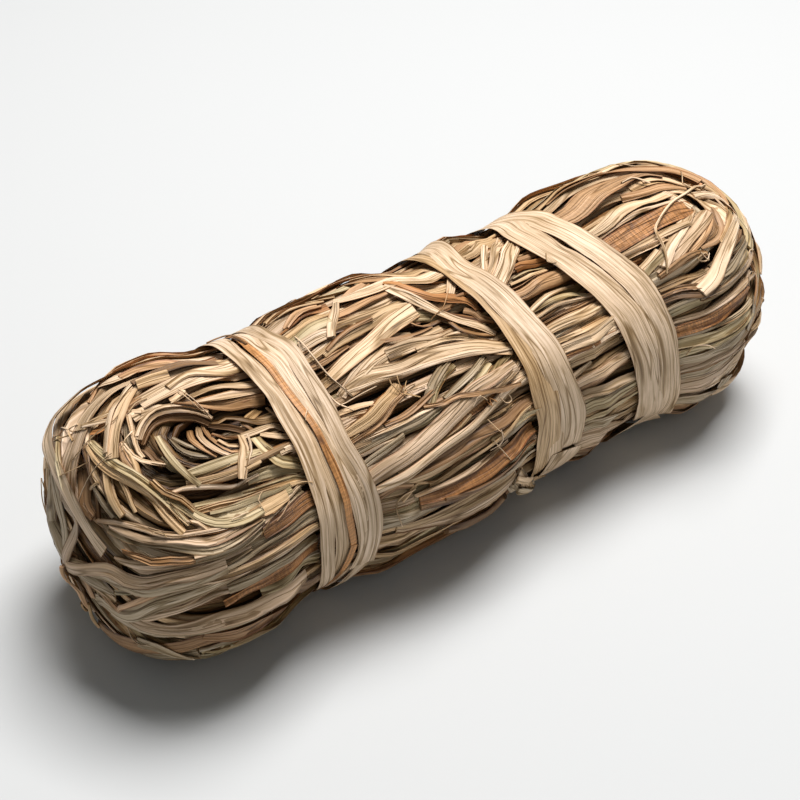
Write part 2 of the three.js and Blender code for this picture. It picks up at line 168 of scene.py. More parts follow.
# A point on one of the flat loops that the strips wind in. Latitude is the loop's height as an angle; turn is
# 0 to 1 along the front, 1 to 2 round the right end, 2 to 3 along the back, and 3 to 4 round the left end.
def loopPoint(latitude, turn):
    place = np.mod(turn, 4)
    around = np.mod(place, 1) * np.pi
    side, rise = roll["radius"] * np.cos(latitude), roll["radius"] * np.sin(latitude)
    bulge = np.maximum(1 - (np.cos(latitude) * np.sin(around)) ** 2, 0)
    reach = np.maximum(1 - bulge ** (bluntness / 2), 0) ** (1 / bluntness)
    straight = rightCentre - leftCentre
    parts = [place < 1, place < 2, place < 3]
    along, back = leftCentre + straight * place, rightCentre - straight * (place - 2)
    roundRight, roundLeft = rightCentre + roll["rightEnd"] * reach, leftCentre - roll["leftEnd"] * reach
    x = np.select(parts, [along, roundRight, back], roundLeft)
    out = np.select(parts, [-side, -side * np.cos(around), side], side * np.cos(around))
    c, s = np.cos(roll["coilTilt"]), np.sin(roll["coilTilt"])
    return np.stack([x, out * c - rise * s, out * s + rise * c], -1)


# a point at x, and at an angle round the roll: 0 is the front, 90 degrees the top, 180 the back
def girthPoint(x, degrees):
    radius, angle = radiusAt(x), np.radians(degrees)
    return np.stack([x, -radius * np.cos(angle), radius * np.sin(angle)], -1)


# how high the strips laid so far reach, in 1 mm cells of the plain roll
fieldLow = np.array([-116, -42, -42])
field = np.full((232, 84, 84), roll["deepest"], np.float32)


def cellsOf(points):
    return np.clip(np.rint(points - fieldLow).astype(int), 1, np.array(field.shape) - 2)


def heightsAt(points):
    return field[tuple(np.moveaxis(cellsOf(points), -1, 0))]


# raises the cells under a strip's rings, and at even steps between one ring and the next
def mark(points, heights):
    share = np.arange(0, 1, 0.25)[:, None, None]
    both = np.concatenate([points, heights[..., None]], -1)
    between = (both[:-1] * (1 - share[..., None]) + both[1:] * share[..., None]).reshape(-1, 4)
    np.maximum.at(field, tuple(cellsOf(between[:, :3]).T), between[:, 3].astype(np.float32))


# a curve's points at even steps along it
def evenly(points, step):
    lengths = np.concatenate([[0], np.cumsum(np.linalg.norm(np.diff(points, axis=0), axis=1))])
    count = max(int(lengths[-1] / step), 4)
    s = np.linspace(0, lengths[-1], count + 1)
    return np.stack([np.interp(s, lengths, points[:, i]) for i in range(points.shape[1])], -1)


# a Catmull-Rom curve through a few points
def smoothThrough(via, perSpan=16):
    via = np.asarray(via, float)
    ends = np.concatenate([[2 * via[0] - via[1]], via, [2 * via[-1] - via[-2]]])
    t = np.linspace(0, 1, perSpan, endpoint=False)[:, None]
    a, b, c, d = (ends[i:len(ends) - 3 + i][:, None] for i in range(4))
    curve = 0.5 * (2 * b + (c - a) * t + (2 * a - 5 * b + 4 * c - d) * t**2 + (3 * b - a - 3 * c + d) * t**3)
    return np.concatenate([curve.reshape(-1, via.shape[1]), via[-1:]])


# a traced route, smoothed through its pairs of x and angle
def tracedRoute(via, perSpan=10):
    return smoothThrough(girthPoint(*np.reshape(np.array(via, float), (-1, 2)).T), perSpan)


# a sum of sines with random phases, about as large as size
def wander(s, size, waves):
    parts = [np.sin(2 * np.pi * (s / wave + dice.random())) for wave in waves]
    return size * np.sum(parts, axis=0) / np.sqrt(len(waves))


# How sharply the strips are crumpled, and how far apart in mm: bends sideways in mm, changes of width as a
# share, and tilts in radians.
crumpled = {"bend": (0.13, 13), "width": (0.06, 8), "tilt": (0.11, 10)}


# a broken line through random heights, its corners about one stretch apart
def kinked(s, kind, share):
    size, stretch = crumpled[kind]
    corners = np.cumsum(dice.uniform(0.4, 1.7, int(s[-1] / stretch) + 5) * stretch) - stretch
    return np.interp(s, corners, dice.normal(0, size * share, len(corners)))


# places across a strip from -1 to 1, closer together at its edges: sin(1.4 t) / sin(1.4)
def acrossTop(columns):
    return np.sin(np.linspace(-1, 1, columns) * 1.4) / np.sin(1.4)


# sRGB hex to linear light
def linear(colour):
    srgb = np.array([int(colour[i:i + 2], 16) for i in (1, 3, 5)]) / 255
    return np.where(srgb <= 0.04045, srgb / 12.92, ((srgb + 0.055) / 1.055) ** 2.4)


leafColours = {
    "cream": "#e8cbaa",
    "pale": "#dfc09b",
    "straw": "#d3b084",
    "pink": "#d3b595",
    "green": "#c6b189",
    "grey": "#bda88a",
    "tan": "#c79d73",
    "brown": "#a07a54",
    "rust": "#bd8653",
    "amber": "#cf945a",
}


# The height of a strip's top over its underside, across it, for each way that a leaf strip folds. Flat and
# round ones are 1 - u ^ 2, rods are half a circle, a ridge is a triangle, pleats are a zigzag, a hem is a
# step, and a trough is u ^ 2.
def foldShape(kind, half, u):
    count = len(u)
    if kind == "flat":
        groove = 0.14 * np.exp(-(((u - dice.uniform(-0.7, 0.7)) / 0.18) ** 2))
        return 0.24 + 0.1 * (1 - u**2) - groove
    if kind == "round":
        return 0.15 + half * dice.uniform(0.28, 0.5) * (1 - np.abs(u) ** 2.4)
    if kind == "rodlike":
        return 0.1 + half * 0.62 * np.sqrt(np.maximum(1 - u**2, 0))
    if kind == "rod":
        return half * 0.9 * np.sqrt(np.maximum(1 - u**2, 0))
    if kind == "ridge":
        top = u[dice.integers(1, count - 1)]
        return 0.12 + half * dice.uniform(0.26, 0.46) * np.minimum((1 + u) / (1 + top), (1 - u) / (1 - top))
    if kind == "pleats":
        zigzag = np.tile([1, 0, 0.8, 0.1, 0.9, 0, 0.7, 0.2], 3)[:count]
        return 0.15 + dice.uniform(0.35, 0.65) * dice.permutation(zigzag)
    if kind == "hem":
        side = dice.choice([-1, 1])
        return 0.2 + dice.uniform(0.3, 0.5) * (side * u > dice.choice([-0.3, 0.3])) + 0.1 * (1 - u**2)
    return half * dice.uniform(0.18, 0.34) * u**2 + 0.15  # a trough


foldKinds = ["flat", "round", "rod", "ridge", "pleats", "hem", "trough"]
foldShares = {
    "usual": [0.12, 0.18, 0.05, 0.19, 0.28, 0.12, 0.06],
    "deep": [0.1, 0.5, 0.2, 0.2, 0.0, 0.0, 0.0],
}


foldLength = 30.0  # a strip keeps one way of folding over about this length
rodWidth = 0.62  # where a strip rolls itself into a rod, it is this share of its width


# The folds along a strip: a few shapes, each blending into the next by t * t * (3 - 2 * t).
def foldsAlong(s, half, kinds, u):
    stops = np.arange(0, s[-1] + foldLength, foldLength)
    main = dice.choice(foldKinds, p=foldShares[kinds]) if kinds in foldShares else kinds
    picked = [main if kinds not in foldShares or dice.random() < 0.6
              else dice.choice(foldKinds, p=foldShares[kinds]) for _ in stops]
    shapes = np.array([foldShape(kind, half, u) for kind in picked])
    place = np.clip(s / foldLength, 0, len(stops) - 1.001)
    low = place.astype(int)
    share = (place - low)[:, None]
    share = share * share * (3 - 2 * share)
    shapes = np.concatenate([shapes, shapes[-1:]])
    rolled = [kind == "rod" and kinds != "rod" for kind in [*picked, picked[-1]]]
    narrow = np.where(rolled, rodWidth, 1.0)
    widths = narrow[low] * (1 - share[:, 0]) + narrow[low + 1] * share[:, 0]
    return shapes[low] * (1 - share) + shapes[low + 1] * share, widths


# combines each row with its neighbours up to a reach away
def running(values, reach, combine):
    padded = np.pad(values, ((reach, reach), (0, 0)), mode="edge")
    return combine([padded[i:i + len(values)] for i in range(2 * reach + 1)], axis=0)


edgeTintAndShade = np.array([0.54, 0.37, 0.23])  # the edges of the strips are dry and browner, and darker still as painted shade of the gaps between strips
warmth = np.array([0.95, 1.12, 1.5])  # colour = tone * shade ^ warmth, so that a darker leaf, and the painted shade on it, is also browner
stripShape = {
    "narrowing": 7,  # an end narrows over this length
    "tucking": 9,  # and sinks in over this one
    "uneven": (0.07, [19, 43, 71]),  # how much the width wanders, and over which lengths
    "crown": (0.5, [9, 17]),  # the middle rises and falls by this share of the strip's wave
    "bumps": 0.4,  # and its folds do by this share, each on its own
    "thinnest": 0.02,
    "flattening": 2.2,  # the folds flatten where a strip is narrower than its width over this
    "turnedOver": 0.45,  # share of its width that a strip loses where it turns over
    "underside": 0.55,  # width of the underside, as a share of the top's
    "steepest": 0.5,  # slope across, as a share of half the width
    "covering": 0.5,  # the most that a strip's own folds lift the strips laid over it
}
# how the colour of a strip changes along it and across it, with painted shade in its furrows, deep in the
# pile and on its underside, and painted light on its crests
stripLight = {
    "tone": (0.9, 1.08),  # each strip is darker or paler by this
    "across": (0.09, [37, 83, 190]),  # streaks, and the lengths of their waves
    "along": (0.05, [31, 57, 110]),
    "furrow": 0.72,  # painted shade at the bottom of a fold
    "crest": 0.36,  # and how much lighter it is at the top, as painted light
    "deepest": 0.2,  # painted shade of the deepest strips
    "paintedShadeDepth": 4.2,  # and the painted shade is gone this many millimetres above them
    # painted shade on the underside of every strip
    "underside": 0.6,
    "limits": (0.2, 1.4),
}


# Lays one strip over whatever is there. Its section is turned by the twist, and rests partly on a stiff plank
# over the highest points under it and partly on what is there; the plank may tilt, so neighbours overlap like
# tiles. Its ends are tucked in among the strips below. With stand, it keeps to heights over the plain roll.
def layStrip(route, width, colour, kinds="usual", step=3.0, gap=0.06, lift=None, twist=None, marks=True,
             window=4.0, ends=(0.35, 0.35), wave=0.12, tuck=1.4, rib=0.0, stiffness=0.55, shade=1.0,
             stand=None, columns=8, sections=None, thickness=0.28, firm=False, crumple=1.0):
    u = acrossTop(columns)
    route = ontoRoll(evenly(np.asarray(route, float), step))
    count = len(route)
    s = np.arange(count) * step
    share = s / s[-1]
    across = unit(np.cross(rollNormal(route), np.gradient(route, axis=0)))
    route = ontoRoll(route + across * kinked(s, "bend", crumple)[:, None])
    alongLine = unit(np.gradient(route, axis=0))
    out = rollNormal(route)
    across = unit(np.cross(out, alongLine))
    folds, narrowing = foldsAlong(s, width / 2, kinds, u) if sections is None else (sections(s, u), 1.0)
    fromStart, fromEnd = (np.minimum(d / stripShape["narrowing"], 1) for d in (s, s[-1] - s))
    atEnds = np.minimum(fromStart * (1 - ends[0]) + ends[0], fromEnd * (1 - ends[1]) + ends[1])
    half = width / 2 * narrowing * atEnds * (1 + wander(s, *stripShape["uneven"]))
    turned = np.zeros(count) if twist is None else np.interp(share, *np.asarray(twist, float).T) * np.pi
    half = half * (1 - stripShape["turnedOver"] * np.sin(turned) ** 2)
    half = half * (1 + kinked(s, "width", crumple))
    turned = turned + kinked(s, "tilt", crumple)
    relief = folds / np.maximum(folds.max(1, keepdims=True), tiny)
    crownShare, crownWaves = stripShape["crown"]
    crown = wander(s, wave * crownShare, crownWaves)[:, None] * (1 - u**2)
    folds = folds + crown + wave * stripShape["bumps"] * wanderAcross(s, columns)
    flatter = np.minimum(1, half * stripShape["flattening"] / max(width / 2, 0.1))
    folds = np.maximum(folds, stripShape["thinnest"]) * flatter[:, None]
    side = half[:, None] * u
    c, sn = np.cos(turned)[:, None], np.sin(turned)[:, None]
    lowSide = stripShape["underside"] * half[:, None] * np.array([1, -1])
    lowUp = np.full((count, 2), -thickness)
    sides = np.concatenate([side, lowSide], 1)
    ups = np.concatenate([folds, lowUp], 1)
    sides, ups = sides * c - ups * sn, sides * sn + ups * c
    ups = ups - ups.min(1, keepdims=True)
    feet = ontoRoll(route[:, None] + across[:, None] * sides[..., None])
    under = heightsAt(feet[:, :columns])
    steepest = stripShape["steepest"] * half
    slope = np.clip((under * u).sum(1) / (u * u).sum(), -steepest, steepest)[:, None]
    reach = max(int(round(window / step)), 1)
    highest = running((under - slope * u).max(1, keepdims=True), 5 if firm else 1, np.max)
    level = running(highest, reach, np.mean)
    slope = running(slope, reach, np.mean)
    soft = running(under, reach, np.mean)
    soft = np.concatenate([soft, soft[:, [-2, 1]]], 1)
    plank = level + slope * np.clip(sides / np.maximum(half[:, None], 0.1), -1, 1)
    plank = plank * stiffness + soft * (1 - stiffness) + gap
    raised = -tuck * np.maximum(1 - np.minimum(s, s[-1] - s) / stripShape["tucking"], 0)
    if lift is not None:
        raised = raised + np.interp(share, *np.asarray(lift, float).T)
    if stand is not None:
        plank = np.interp(share, *np.asarray(stand, float).T)[:, None] + np.zeros_like(plank)
        raised = raised * 0
    heights = plank + ups + raised[:, None]
    if marks:
        covered = plank[:, :columns] + ups[:, :columns] + stripShape["covering"]
        mark(feet[:, :columns], np.minimum(heights[:, :columns], covered))
    tone = linear(leafColours[colour]) * shade * dice.uniform(*stripLight["tone"])
    streak, waves = stripLight["across"]
    streaks = 1 + streak * wanderAcross(s, columns, waves) + wander(s, *stripLight["along"])[:, None]
    # painted shade, darker the deeper a strip lies in the pile
    risen = np.clip((plank[:, :columns] - roll["deepest"]) / stripLight["paintedShadeDepth"], 0, 1)
    # painted shade in the furrows of a strip's folds, and painted light on their crests
    folded = stripLight["furrow"] + stripLight["crest"] * relief
    light = streaks * folded * (stripLight["deepest"] + (1 - stripLight["deepest"]) * risen)
    # painted shade on the underside
    light = np.concatenate([light, np.full((count, 2), stripLight["underside"])], 1)
    rings = tone * np.clip(light, *stripLight["limits"])[..., None] ** (warmth if columns > 4 else 1)
    if columns > 4:  # fibres are pale all over
        rings[:, [0, columns - 1]] *= edgeTintAndShade
    offset = dice.uniform(0, 400, 2)
    wide = np.concatenate([side, lowSide], 1)
    uv = np.stack([wide + offset[0], np.repeat(s[:, None], columns + 2, 1) + offset[1]], -1)
    return {
        "points": placed(feet, heights),
        "colour": rings,
        "uv": uv,
        "ribbed": np.full((count, columns + 2), rib),
        "top": (feet[:, :columns], heights[:, :columns]),
    }


# small uneven bumps, a few millimetres long, that differ across a strip
def wanderAcross(s, columns, waves=(6.5, 11, 23)):
    return np.stack([wander(s, 0.5, waves) for _ in range(columns)], 1)


creaseAngle = 27  # folds sharper than this show as a crease


# gives a mesh its object, its material and its place in the frame
def finishPiece(name, mesh, material, nodes):
    piece = bpy.data.objects.new(name, mesh)
    bpy.context.scene.collection.objects.link(piece)
    piece.data.materials.append(material)
    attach(piece, "root")
    if nodes:
        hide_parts(*nodes)


# a mesh's colours at its points and its map at its corners
def paint(mesh, colours, uvs, corners):
    rgba = np.concatenate([colours, np.ones((len(colours), 1))], 1).astype(np.float32)
    mesh.color_attributes.new("leafColour", "FLOAT_COLOR", "POINT").data.foreach_set("color", rgba.ravel())
    mesh.uv_layers.new(name="leafMap").data.foreach_set("uv", uvs[corners].astype(np.float32).ravel())


# One mesh of many strips: quads between neighbouring rings, and a cap at each end.
def makePiece(name, strips, material, nodes=()):
    points, quads, caps, base = [], [], [], 0
    size = strips[0]["points"].shape[1]
    for strip in strips:
        count = len(strip["points"])
        ring = np.arange(size)
        k = np.arange(count - 1)[:, None] * size
        after = (ring + 1) % size
        quad = np.stack([k + ring, k + size + ring, k + size + after, k + after], -1)
        quads.append(base + quad.reshape(-1, 4))
        caps.append(np.stack([base + ring, base + (count - 1) * size + ring[::-1]]))
        points.append(strip["points"].reshape(-1, 3))
        base += count * size
    points, quads, caps = np.concatenate(points) * 0.001, np.concatenate(quads), np.concatenate(caps)
    colours = np.concatenate([strip["colour"].reshape(-1, 3) for strip in strips])
    uvs = np.concatenate([strip["uv"].reshape(-1, 2) for strip in strips])
    ribbed = np.concatenate([strip["ribbed"].ravel() for strip in strips]).astype(np.float32)
    mesh = bpy.data.meshes.new(name)
    corners = np.concatenate([quads.ravel(), caps.ravel()])
    starts = np.concatenate([np.arange(len(quads)) * 4, len(quads) * 4 + np.arange(len(caps)) * size])
    mesh.vertices.add(len(points))
    mesh.vertices.foreach_set("co", points.ravel().astype(np.float32))
    mesh.loops.add(len(corners))
    mesh.loops.foreach_set("vertex_index", corners.astype(np.int32))
    mesh.polygons.add(len(starts))
    mesh.polygons.foreach_set("loop_start", starts.astype(np.int32))
    mesh.update(calc_edges=True)
    mesh.shade_smooth()
    mesh.set_sharp_from_angle(angle=np.radians(creaseAngle))
    paint(mesh, colours, uvs, corners)
    mesh.attributes.new("ribbed", "FLOAT", "POINT").data.foreach_set("value", ribbed)
    mesh.validate()
    finishPiece(name, mesh, material, nodes)
    print(name, len(strips), "strips,", len(quads) * 2 + len(caps) * (size - 2), "triangles")


# Adds a node with its settings and its links, each from a socket or a plain value, and gives one output.
def addNode(tree, kind, links=None, out=0, **settings):
    node = tree.nodes.new(kind)
    for key, value in settings.items():
        setattr(node, key, value)
    for key, value in (links or {}).items():
        if isinstance(value, bpy.types.NodeSocket):
            tree.links.new(value, node.inputs[key])
        else:
            node.inputs[key].default_value = value
    return node.outputs[out] if node.outputs else None


# Dried raffia palm leaf, torn into strips lengthwise. It is a satin, slightly waxy leaf skin with fine fibres
# along it, which catch the light as thin lines. They are drawn 0.6 mm apart, coarser than real, to show.
leaf = {
    # each pattern: millimetres across and along the strip from one to the next, and its noise
    "patterns": {
        "fibre": (0.62, 22.0, {"Detail": 3.0, "Roughness": 0.6, "Distortion": 0.2}),
        "blotch": (4.5, 18.0, {"Detail": 4.0, "Roughness": 0.65}),
        "crease": (4.2, 60.0, {"Detail": 1.0, "Roughness": 0.5}),
        "hair": (1.5, 42.0, {"Detail": 2.0, "Roughness": 0.4}),
        "rib": (1 / 0.35, 0.62, {"Detail": 1.0}),  # across the rusty strips
        "crumple": (1.7, 4.25, {"Detail": 2.0}),
    },
    # a crease lies where its slow noise crosses this value: one or two to a strip, drawn darker as painted
    # shade in the crease, and finer hairs between
    "middles": {"crease": 0.5, "hair": 0.53},
    "fineDepth": 0.00035,  # of the fibres and creases, in metres
    "crumpleDepth": 0.0008,
    "crumpleStrength": 0.25,
    "roughness": 0.52,
    "ior": 1.45,
}


# shade = fibre * stain * hair * crease, and colour = leaf colour * (darkness * shade) ^ warmth * ribs, where
# darkness is painted shade
def leafMaterial(name, darkness=1.0, bump=0.8, hairShade=0.5, creaseShade=0.4):
    material = bpy.data.materials.new(name)
    material.use_nodes = True
    tree = material.node_tree
    tree.nodes.clear()
    uv = addNode(tree, "ShaderNodeUVMap", uv_map="leafMap")
    colour = addNode(tree, "ShaderNodeAttribute", out="Color", attribute_name="leafColour")
    ribbed = addNode(tree, "ShaderNodeAttribute", out="Fac", attribute_name="ribbed")
    noise, away, shade = {}, {}, {}
    for key, (across, along, look) in leaf["patterns"].items():
        scaled = addNode(tree, "ShaderNodeMapping", {"Vector": uv, "Scale": (1 / across, 1 / along, 1)})
        noise[key] = addNode(tree, "ShaderNodeTexNoise", {"Vector": scaled, "Scale": 1.0, **look})
    for key, middle in leaf["middles"].items():
        signed = addNode(tree, "ShaderNodeMath", {0: noise[key], 1: middle}, operation="SUBTRACT")
        away[key] = addNode(tree, "ShaderNodeMath", {0: signed}, operation="ABSOLUTE")
    for key, source, low, high, atLow, atHigh in (
        ("fibre", noise["fibre"], 0.32, 0.68, 0.66, 1.23),
        ("stain", noise["blotch"], 0.35, 0.7, 1.05, 0.86),
        ("crease", away["crease"], 0.003, 0.026, creaseShade, 1.02),
        ("hair", away["hair"], 0.004, 0.036, hairShade, 1.02),
        ("rib", noise["rib"], 0.4, 0.62, 0.72, 1.14),
    ):
        shade[key] = addNode(tree, "ShaderNodeMapRange", {
            "Value": source, "From Min": low, "From Max": high, "To Min": atLow, "To Max": atHigh})
    stained = addNode(tree, "ShaderNodeMath", {0: shade["fibre"], 1: shade["stain"]}, operation="MULTIPLY")
    creased = addNode(tree, "ShaderNodeMath", {0: shade["hair"], 1: shade["crease"]}, operation="MULTIPLY")
    shaded = addNode(tree, "ShaderNodeMath", {0: stained, 1: creased}, operation="MULTIPLY")
    warm = addNode(tree, "ShaderNodeVectorMath", {0: shaded, 1: tuple(warmth)}, operation="POWER")
    fine = addNode(tree, "ShaderNodeVectorMath", {0: colour, 1: warm}, operation="MULTIPLY")
    darker = tuple(darkness ** warmth)
    dark = addNode(tree, "ShaderNodeVectorMath", {0: fine, 1: darker}, operation="MULTIPLY")
    ribs = addNode(tree, "ShaderNodeMix", {"Factor": ribbed, 2: 1.0, 3: shade["rib"]})
    final = addNode(tree, "ShaderNodeVectorMath", {0: dark, "Scale": ribs}, operation="SCALE")
    ribbedFibre = addNode(tree, "ShaderNodeMath", {0: noise["fibre"], 1: ribs}, operation="MULTIPLY")
    heights = addNode(tree, "ShaderNodeMath", {0: ribbedFibre, 1: creased}, operation="ADD")
    fineBump = addNode(tree, "ShaderNodeBump", {
        "Height": heights, "Strength": bump, "Distance": leaf["fineDepth"]})
    bumped = addNode(tree, "ShaderNodeBump", {
        "Height": noise["crumple"], "Strength": leaf["crumpleStrength"], "Distance": leaf["crumpleDepth"],
        "Normal": fineBump})
    shader = addNode(tree, "ShaderNodeBsdfPrincipled", {
        "Base Color": final, "Roughness": leaf["roughness"], "IOR": leaf["ior"], "Normal": bumped})
    addNode(tree, "ShaderNodeOutputMaterial", {"Surface": shader})
    return material


raffia = leafMaterial("driedPalmLeaf")
# the strips deep in the pile and the middle, darkened as painted shade
shadedRaffia = leafMaterial("shadedPackedPalmLeaf", darkness=0.4)
smoothRaffia = leafMaterial("tiePalmLeaf", bump=0.45, hairShade=0.62, creaseShade=0.42)  # drawn tight

# the middle, darkened as painted shade, which shows only through the gaps
core = {"latitudes": 60, "perTurn": 56, "under": 0.7, "ripple": 0.5, "eye": (4.5, 8.0), "shade": 0.5,
        "mapMm": (1.9, 2.4)}


# The loops' own surface, a little under the deepest strips:
# height = ripple * sin(40 * latitude + 2 * sin(3 * turn)) - depth * exp(-(distance / reach) ^ 2),
# where distance is to the eye of the nearer rounded end.
def makeCore():
    lat = np.linspace(-np.pi / 2, np.pi / 2, core["latitudes"])
    turn = np.linspace(0, 4, core["perTurn"] * 4, endpoint=False)
    latGrid, turnGrid = np.meshgrid(lat, turn, indexing="ij")
    feet = loopPoint(latGrid, turnGrid)
    past, _ = pastStraight(feet[..., 0])
    toPole = np.hypot(past, roll["radius"] * np.cos(latGrid))
    depth, reach = core["eye"]
    eye = depth * np.exp(-((toPole / reach) ** 2)) * (past != 0) * (latGrid > 0)
    ripple = core["ripple"] * np.sin(latGrid * 40 + np.sin(turnGrid * 3) * 2)
    rows = placed(feet, roll["deepest"] - core["under"] + ripple - eye)
    count, size = rows.shape[:2]
    points = rows.reshape(-1, 3) * 0.001
    k = np.arange(count - 1)[:, None] * size
    ring = np.arange(size)
    after = (ring + 1) % size
    quads = np.stack([k + ring, k + after, k + size + after, k + size + ring], -1).reshape(-1, 4)
    mesh = bpy.data.meshes.new("packedMiddle")
    mesh.from_pydata(points.tolist(), [], quads.tolist())
    mesh.shade_smooth()
    alongMap, roundMap = core["mapMm"]
    grid = np.meshgrid(np.arange(count) * alongMap, np.arange(size) * roundMap, indexing="ij")
    # the brown of the inner strips, darkened as painted shade
    brown = np.tile(linear(leafColours["brown"]) * core["shade"], (len(points), 1))
    paint(mesh, brown, np.stack(grid, -1).reshape(-1, 2), quads.ravel())
    finishPiece("packedMiddle", mesh, shadedRaffia, ["packed_strips"])


makeCore()


# prints how high the strips reach so far, over an even grid of the roll
def reportHeights(stage):
    lat, turn = np.meshgrid(np.radians(np.arange(-80, 81, 8)), np.arange(0, 4, 0.05), indexing="ij")
    print(stage, "reach", np.round(np.percentile(heightsAt(loopPoint(lat, turn)), [1, 10, 50, 90, 99]), 1))


# A strip's route along the loops: its latitude drifts and wanders as it goes.
tiePlaces = [(t["x"] - leftCentre) / (rightCentre - leftCentre) for t in ties]
tieTurns = np.array([*tiePlaces, *(3 - np.array(tiePlaces))])  # where the loops pass under a tie
endsUnderTies = 0.75  # share of the strips that start and end under a tie
swayWaves = [0.9, 1.9, 3.7]  # in turns, of which a loop has 4
steepestLatitude = 88
pointsPerTurn = 60


def windingRoute(latitude, start, turns, drift, sway):
    end = start + turns
    if dice.random() < endsUnderTies:
        start = start + nearest(tieTurns, start)
        end = end + nearest(tieTurns, end)
    turn = np.linspace(start, max(end, start + 0.5), int(turns * pointsPerTurn) + 8)
    lat = latitude + drift * (turn - start) + wander(turn, sway, swayWaves)
    lat = np.clip(lat, -steepestLatitude, steepestLatitude)
    return loopPoint(np.radians(lat), turn), lat.mean()


# the step from a turn to the nearest of some places on the loop, which close on themselves every 4
def nearest(places, turn):
    steps = np.mod(places - turn + 2, 4) - 2
    return steps[np.argmin(np.abs(steps))]


# how high the strips reach so far along a route
def meanHeight(route):
    return heightsAt(ontoRoll(route[::4])).mean()


# Picks the lowest-lying of a few random routes, so that the strips spread evenly.
def nextRoute(look):
    (low, high), turnRange, drift, sway = look["latitudes"], look["turns"], look["drift"], look["sway"]

    def candidate():
        latitude = np.degrees(np.arcsin(dice.uniform(np.sin(np.radians(low)), np.sin(np.radians(high)))))
        start, turns = dice.uniform(0, 4), dice.uniform(*turnRange)
        return windingRoute(latitude, start, turns, dice.normal(0, drift), sway)
    found = [candidate() for _ in range(look["tries"])]
    return min(found, key=lambda pair: meanHeight(pair[0]))


def pickColour(shares):
    return dice.choice(list(shares), p=np.array(list(shares.values())) / sum(shares.values()))


# half a turn somewhere along a strip, this many millimetres to each side
twistReach = 7


def oneTwist(length):
    middle, reach = dice.uniform(0.12, 0.88), twistReach / max(length, 20)
    return [(0, 0), (middle - reach, 0), (middle + reach, 1), (1.01, 1)]


def lengthOf(route):
    return np.linalg.norm(np.diff(route, axis=0), axis=1).sum()


# the strips that show in the gaps between the others, darkened by their material as painted shade
deepLook = {
    "count": 110,
    "widths": (2.4, 5.0),
    "latitudes": (-88, 88),
    "turns": (1.2, 3.2),
    "drift": 5,
    "sway": 3.0,
    "tries": 3,
    "colours": {"straw": 3, "tan": 3, "grey": 3, "brown": 2, "pale": 1},
}
deepStrips = []
for _ in range(deepLook["count"]):
    route, _ = nextRoute(deepLook)
    width = dice.uniform(*deepLook["widths"])
    deepStrips.append(layStrip(route, width, pickColour(deepLook["colours"]), "deep", step=4.0))
makePiece("packedStrips", deepStrips, shadedRaffia)
reportHeights("deep strips")

# the strips along the roll and round its ends
windingLook = {
    "count": 430,
    "widths": (1.8, 3.4, 5.8),  # least, usual and greatest
    "latitudes": (-80, 89),
    "turns": (0.6, 2.2),
    "drift": 7,
    "sway": 3.4,
    "tries": 6,
    "twisted": 0.3,  # share of the strips that turn over once
    "laidBelow": 150,  # this many go everywhere, and the rest leave the photographed side free
    "facing": 0.08,  # the photographed side is where the roll faces the camera by more than this
    "leastLength": 25,
    # hollows in the ends: x, angle, reach, and how many strips go there first
    "eyes": [(-83, 70, 15, 40), (74, 62, 11, 90), (-107.5, 78, 9, 60), (-103, 52, 8, 80)],
    "colours": {"pale": 5, "cream": 2.5, "straw": 5, "pink": 4, "green": 4, "grey": 3, "tan": 3, "brown": 1},
}


# true where the strips are laid one by one
def laidOneByOne(points, number):
    taken = (rollNormal(points) @ towardsCamera > windingLook["facing"]) & (number > windingLook["laidBelow"])
    for x, degrees, reach, first in windingLook["eyes"]:
        eye = girthPoint(np.array(x, float), degrees)
        taken |= (np.linalg.norm(points - eye, axis=-1) < reach) & (number > first)
    return taken


# the longest part of a route that keeps clear of those places
def keptClear(route, number):
    step = 3.0
    route = ontoRoll(evenly(route, step))
    free = ~laidOneByOne(route, number)
    edges = np.flatnonzero(np.diff(np.concatenate([[0], free, [0]])))
    starts, stops = edges[::2], edges[1::2]
    if not len(starts):
        return None
    best = np.argmax(stops - starts)
    part = route[max(starts[best] - 2, 0):stops[best] + 2]
    return part if len(part) * step > windingLook["leastLength"] else None


# each piece of windings: the highest mean latitude of its strips, and the numbers of the solids it replaces
windingPieces = {
    "underWindings": (-38, [1]),
    "lowWindings": (-5, [2, 3]),
    "sideWindings": (25, [4, 5]),
    "highWindings": (55, [6, 7]),
    "topWindings": (91, [8, 9]),
}
windings = {name: [] for name in windingPieces}
bandTops = [top for top, _ in windingPieces.values()]
for number in range(windingLook["count"]):
    route, lat = nextRoute(windingLook)
    route = keptClear(route, number)
    if route is None:
        continue
    low, usual, high = windingLook["widths"]
    twist = oneTwist(lengthOf(route)) if dice.random() < windingLook["twisted"] else None
    width = dice.triangular(low, usual, high)
    strip = layStrip(route, width, pickColour(windingLook["colours"]), twist=twist)
    windings[list(windings)[int(np.searchsorted(bandTops, lat))]].append(strip)
for name, (_, numbers) in windingPieces.items():
    nodes = [f"{side}_winding_strip_{i}" for side in ("left", "right") for i in numbers]
    makePiece(name, windings[name], raffia, nodes)
reportHeights("winding strips")

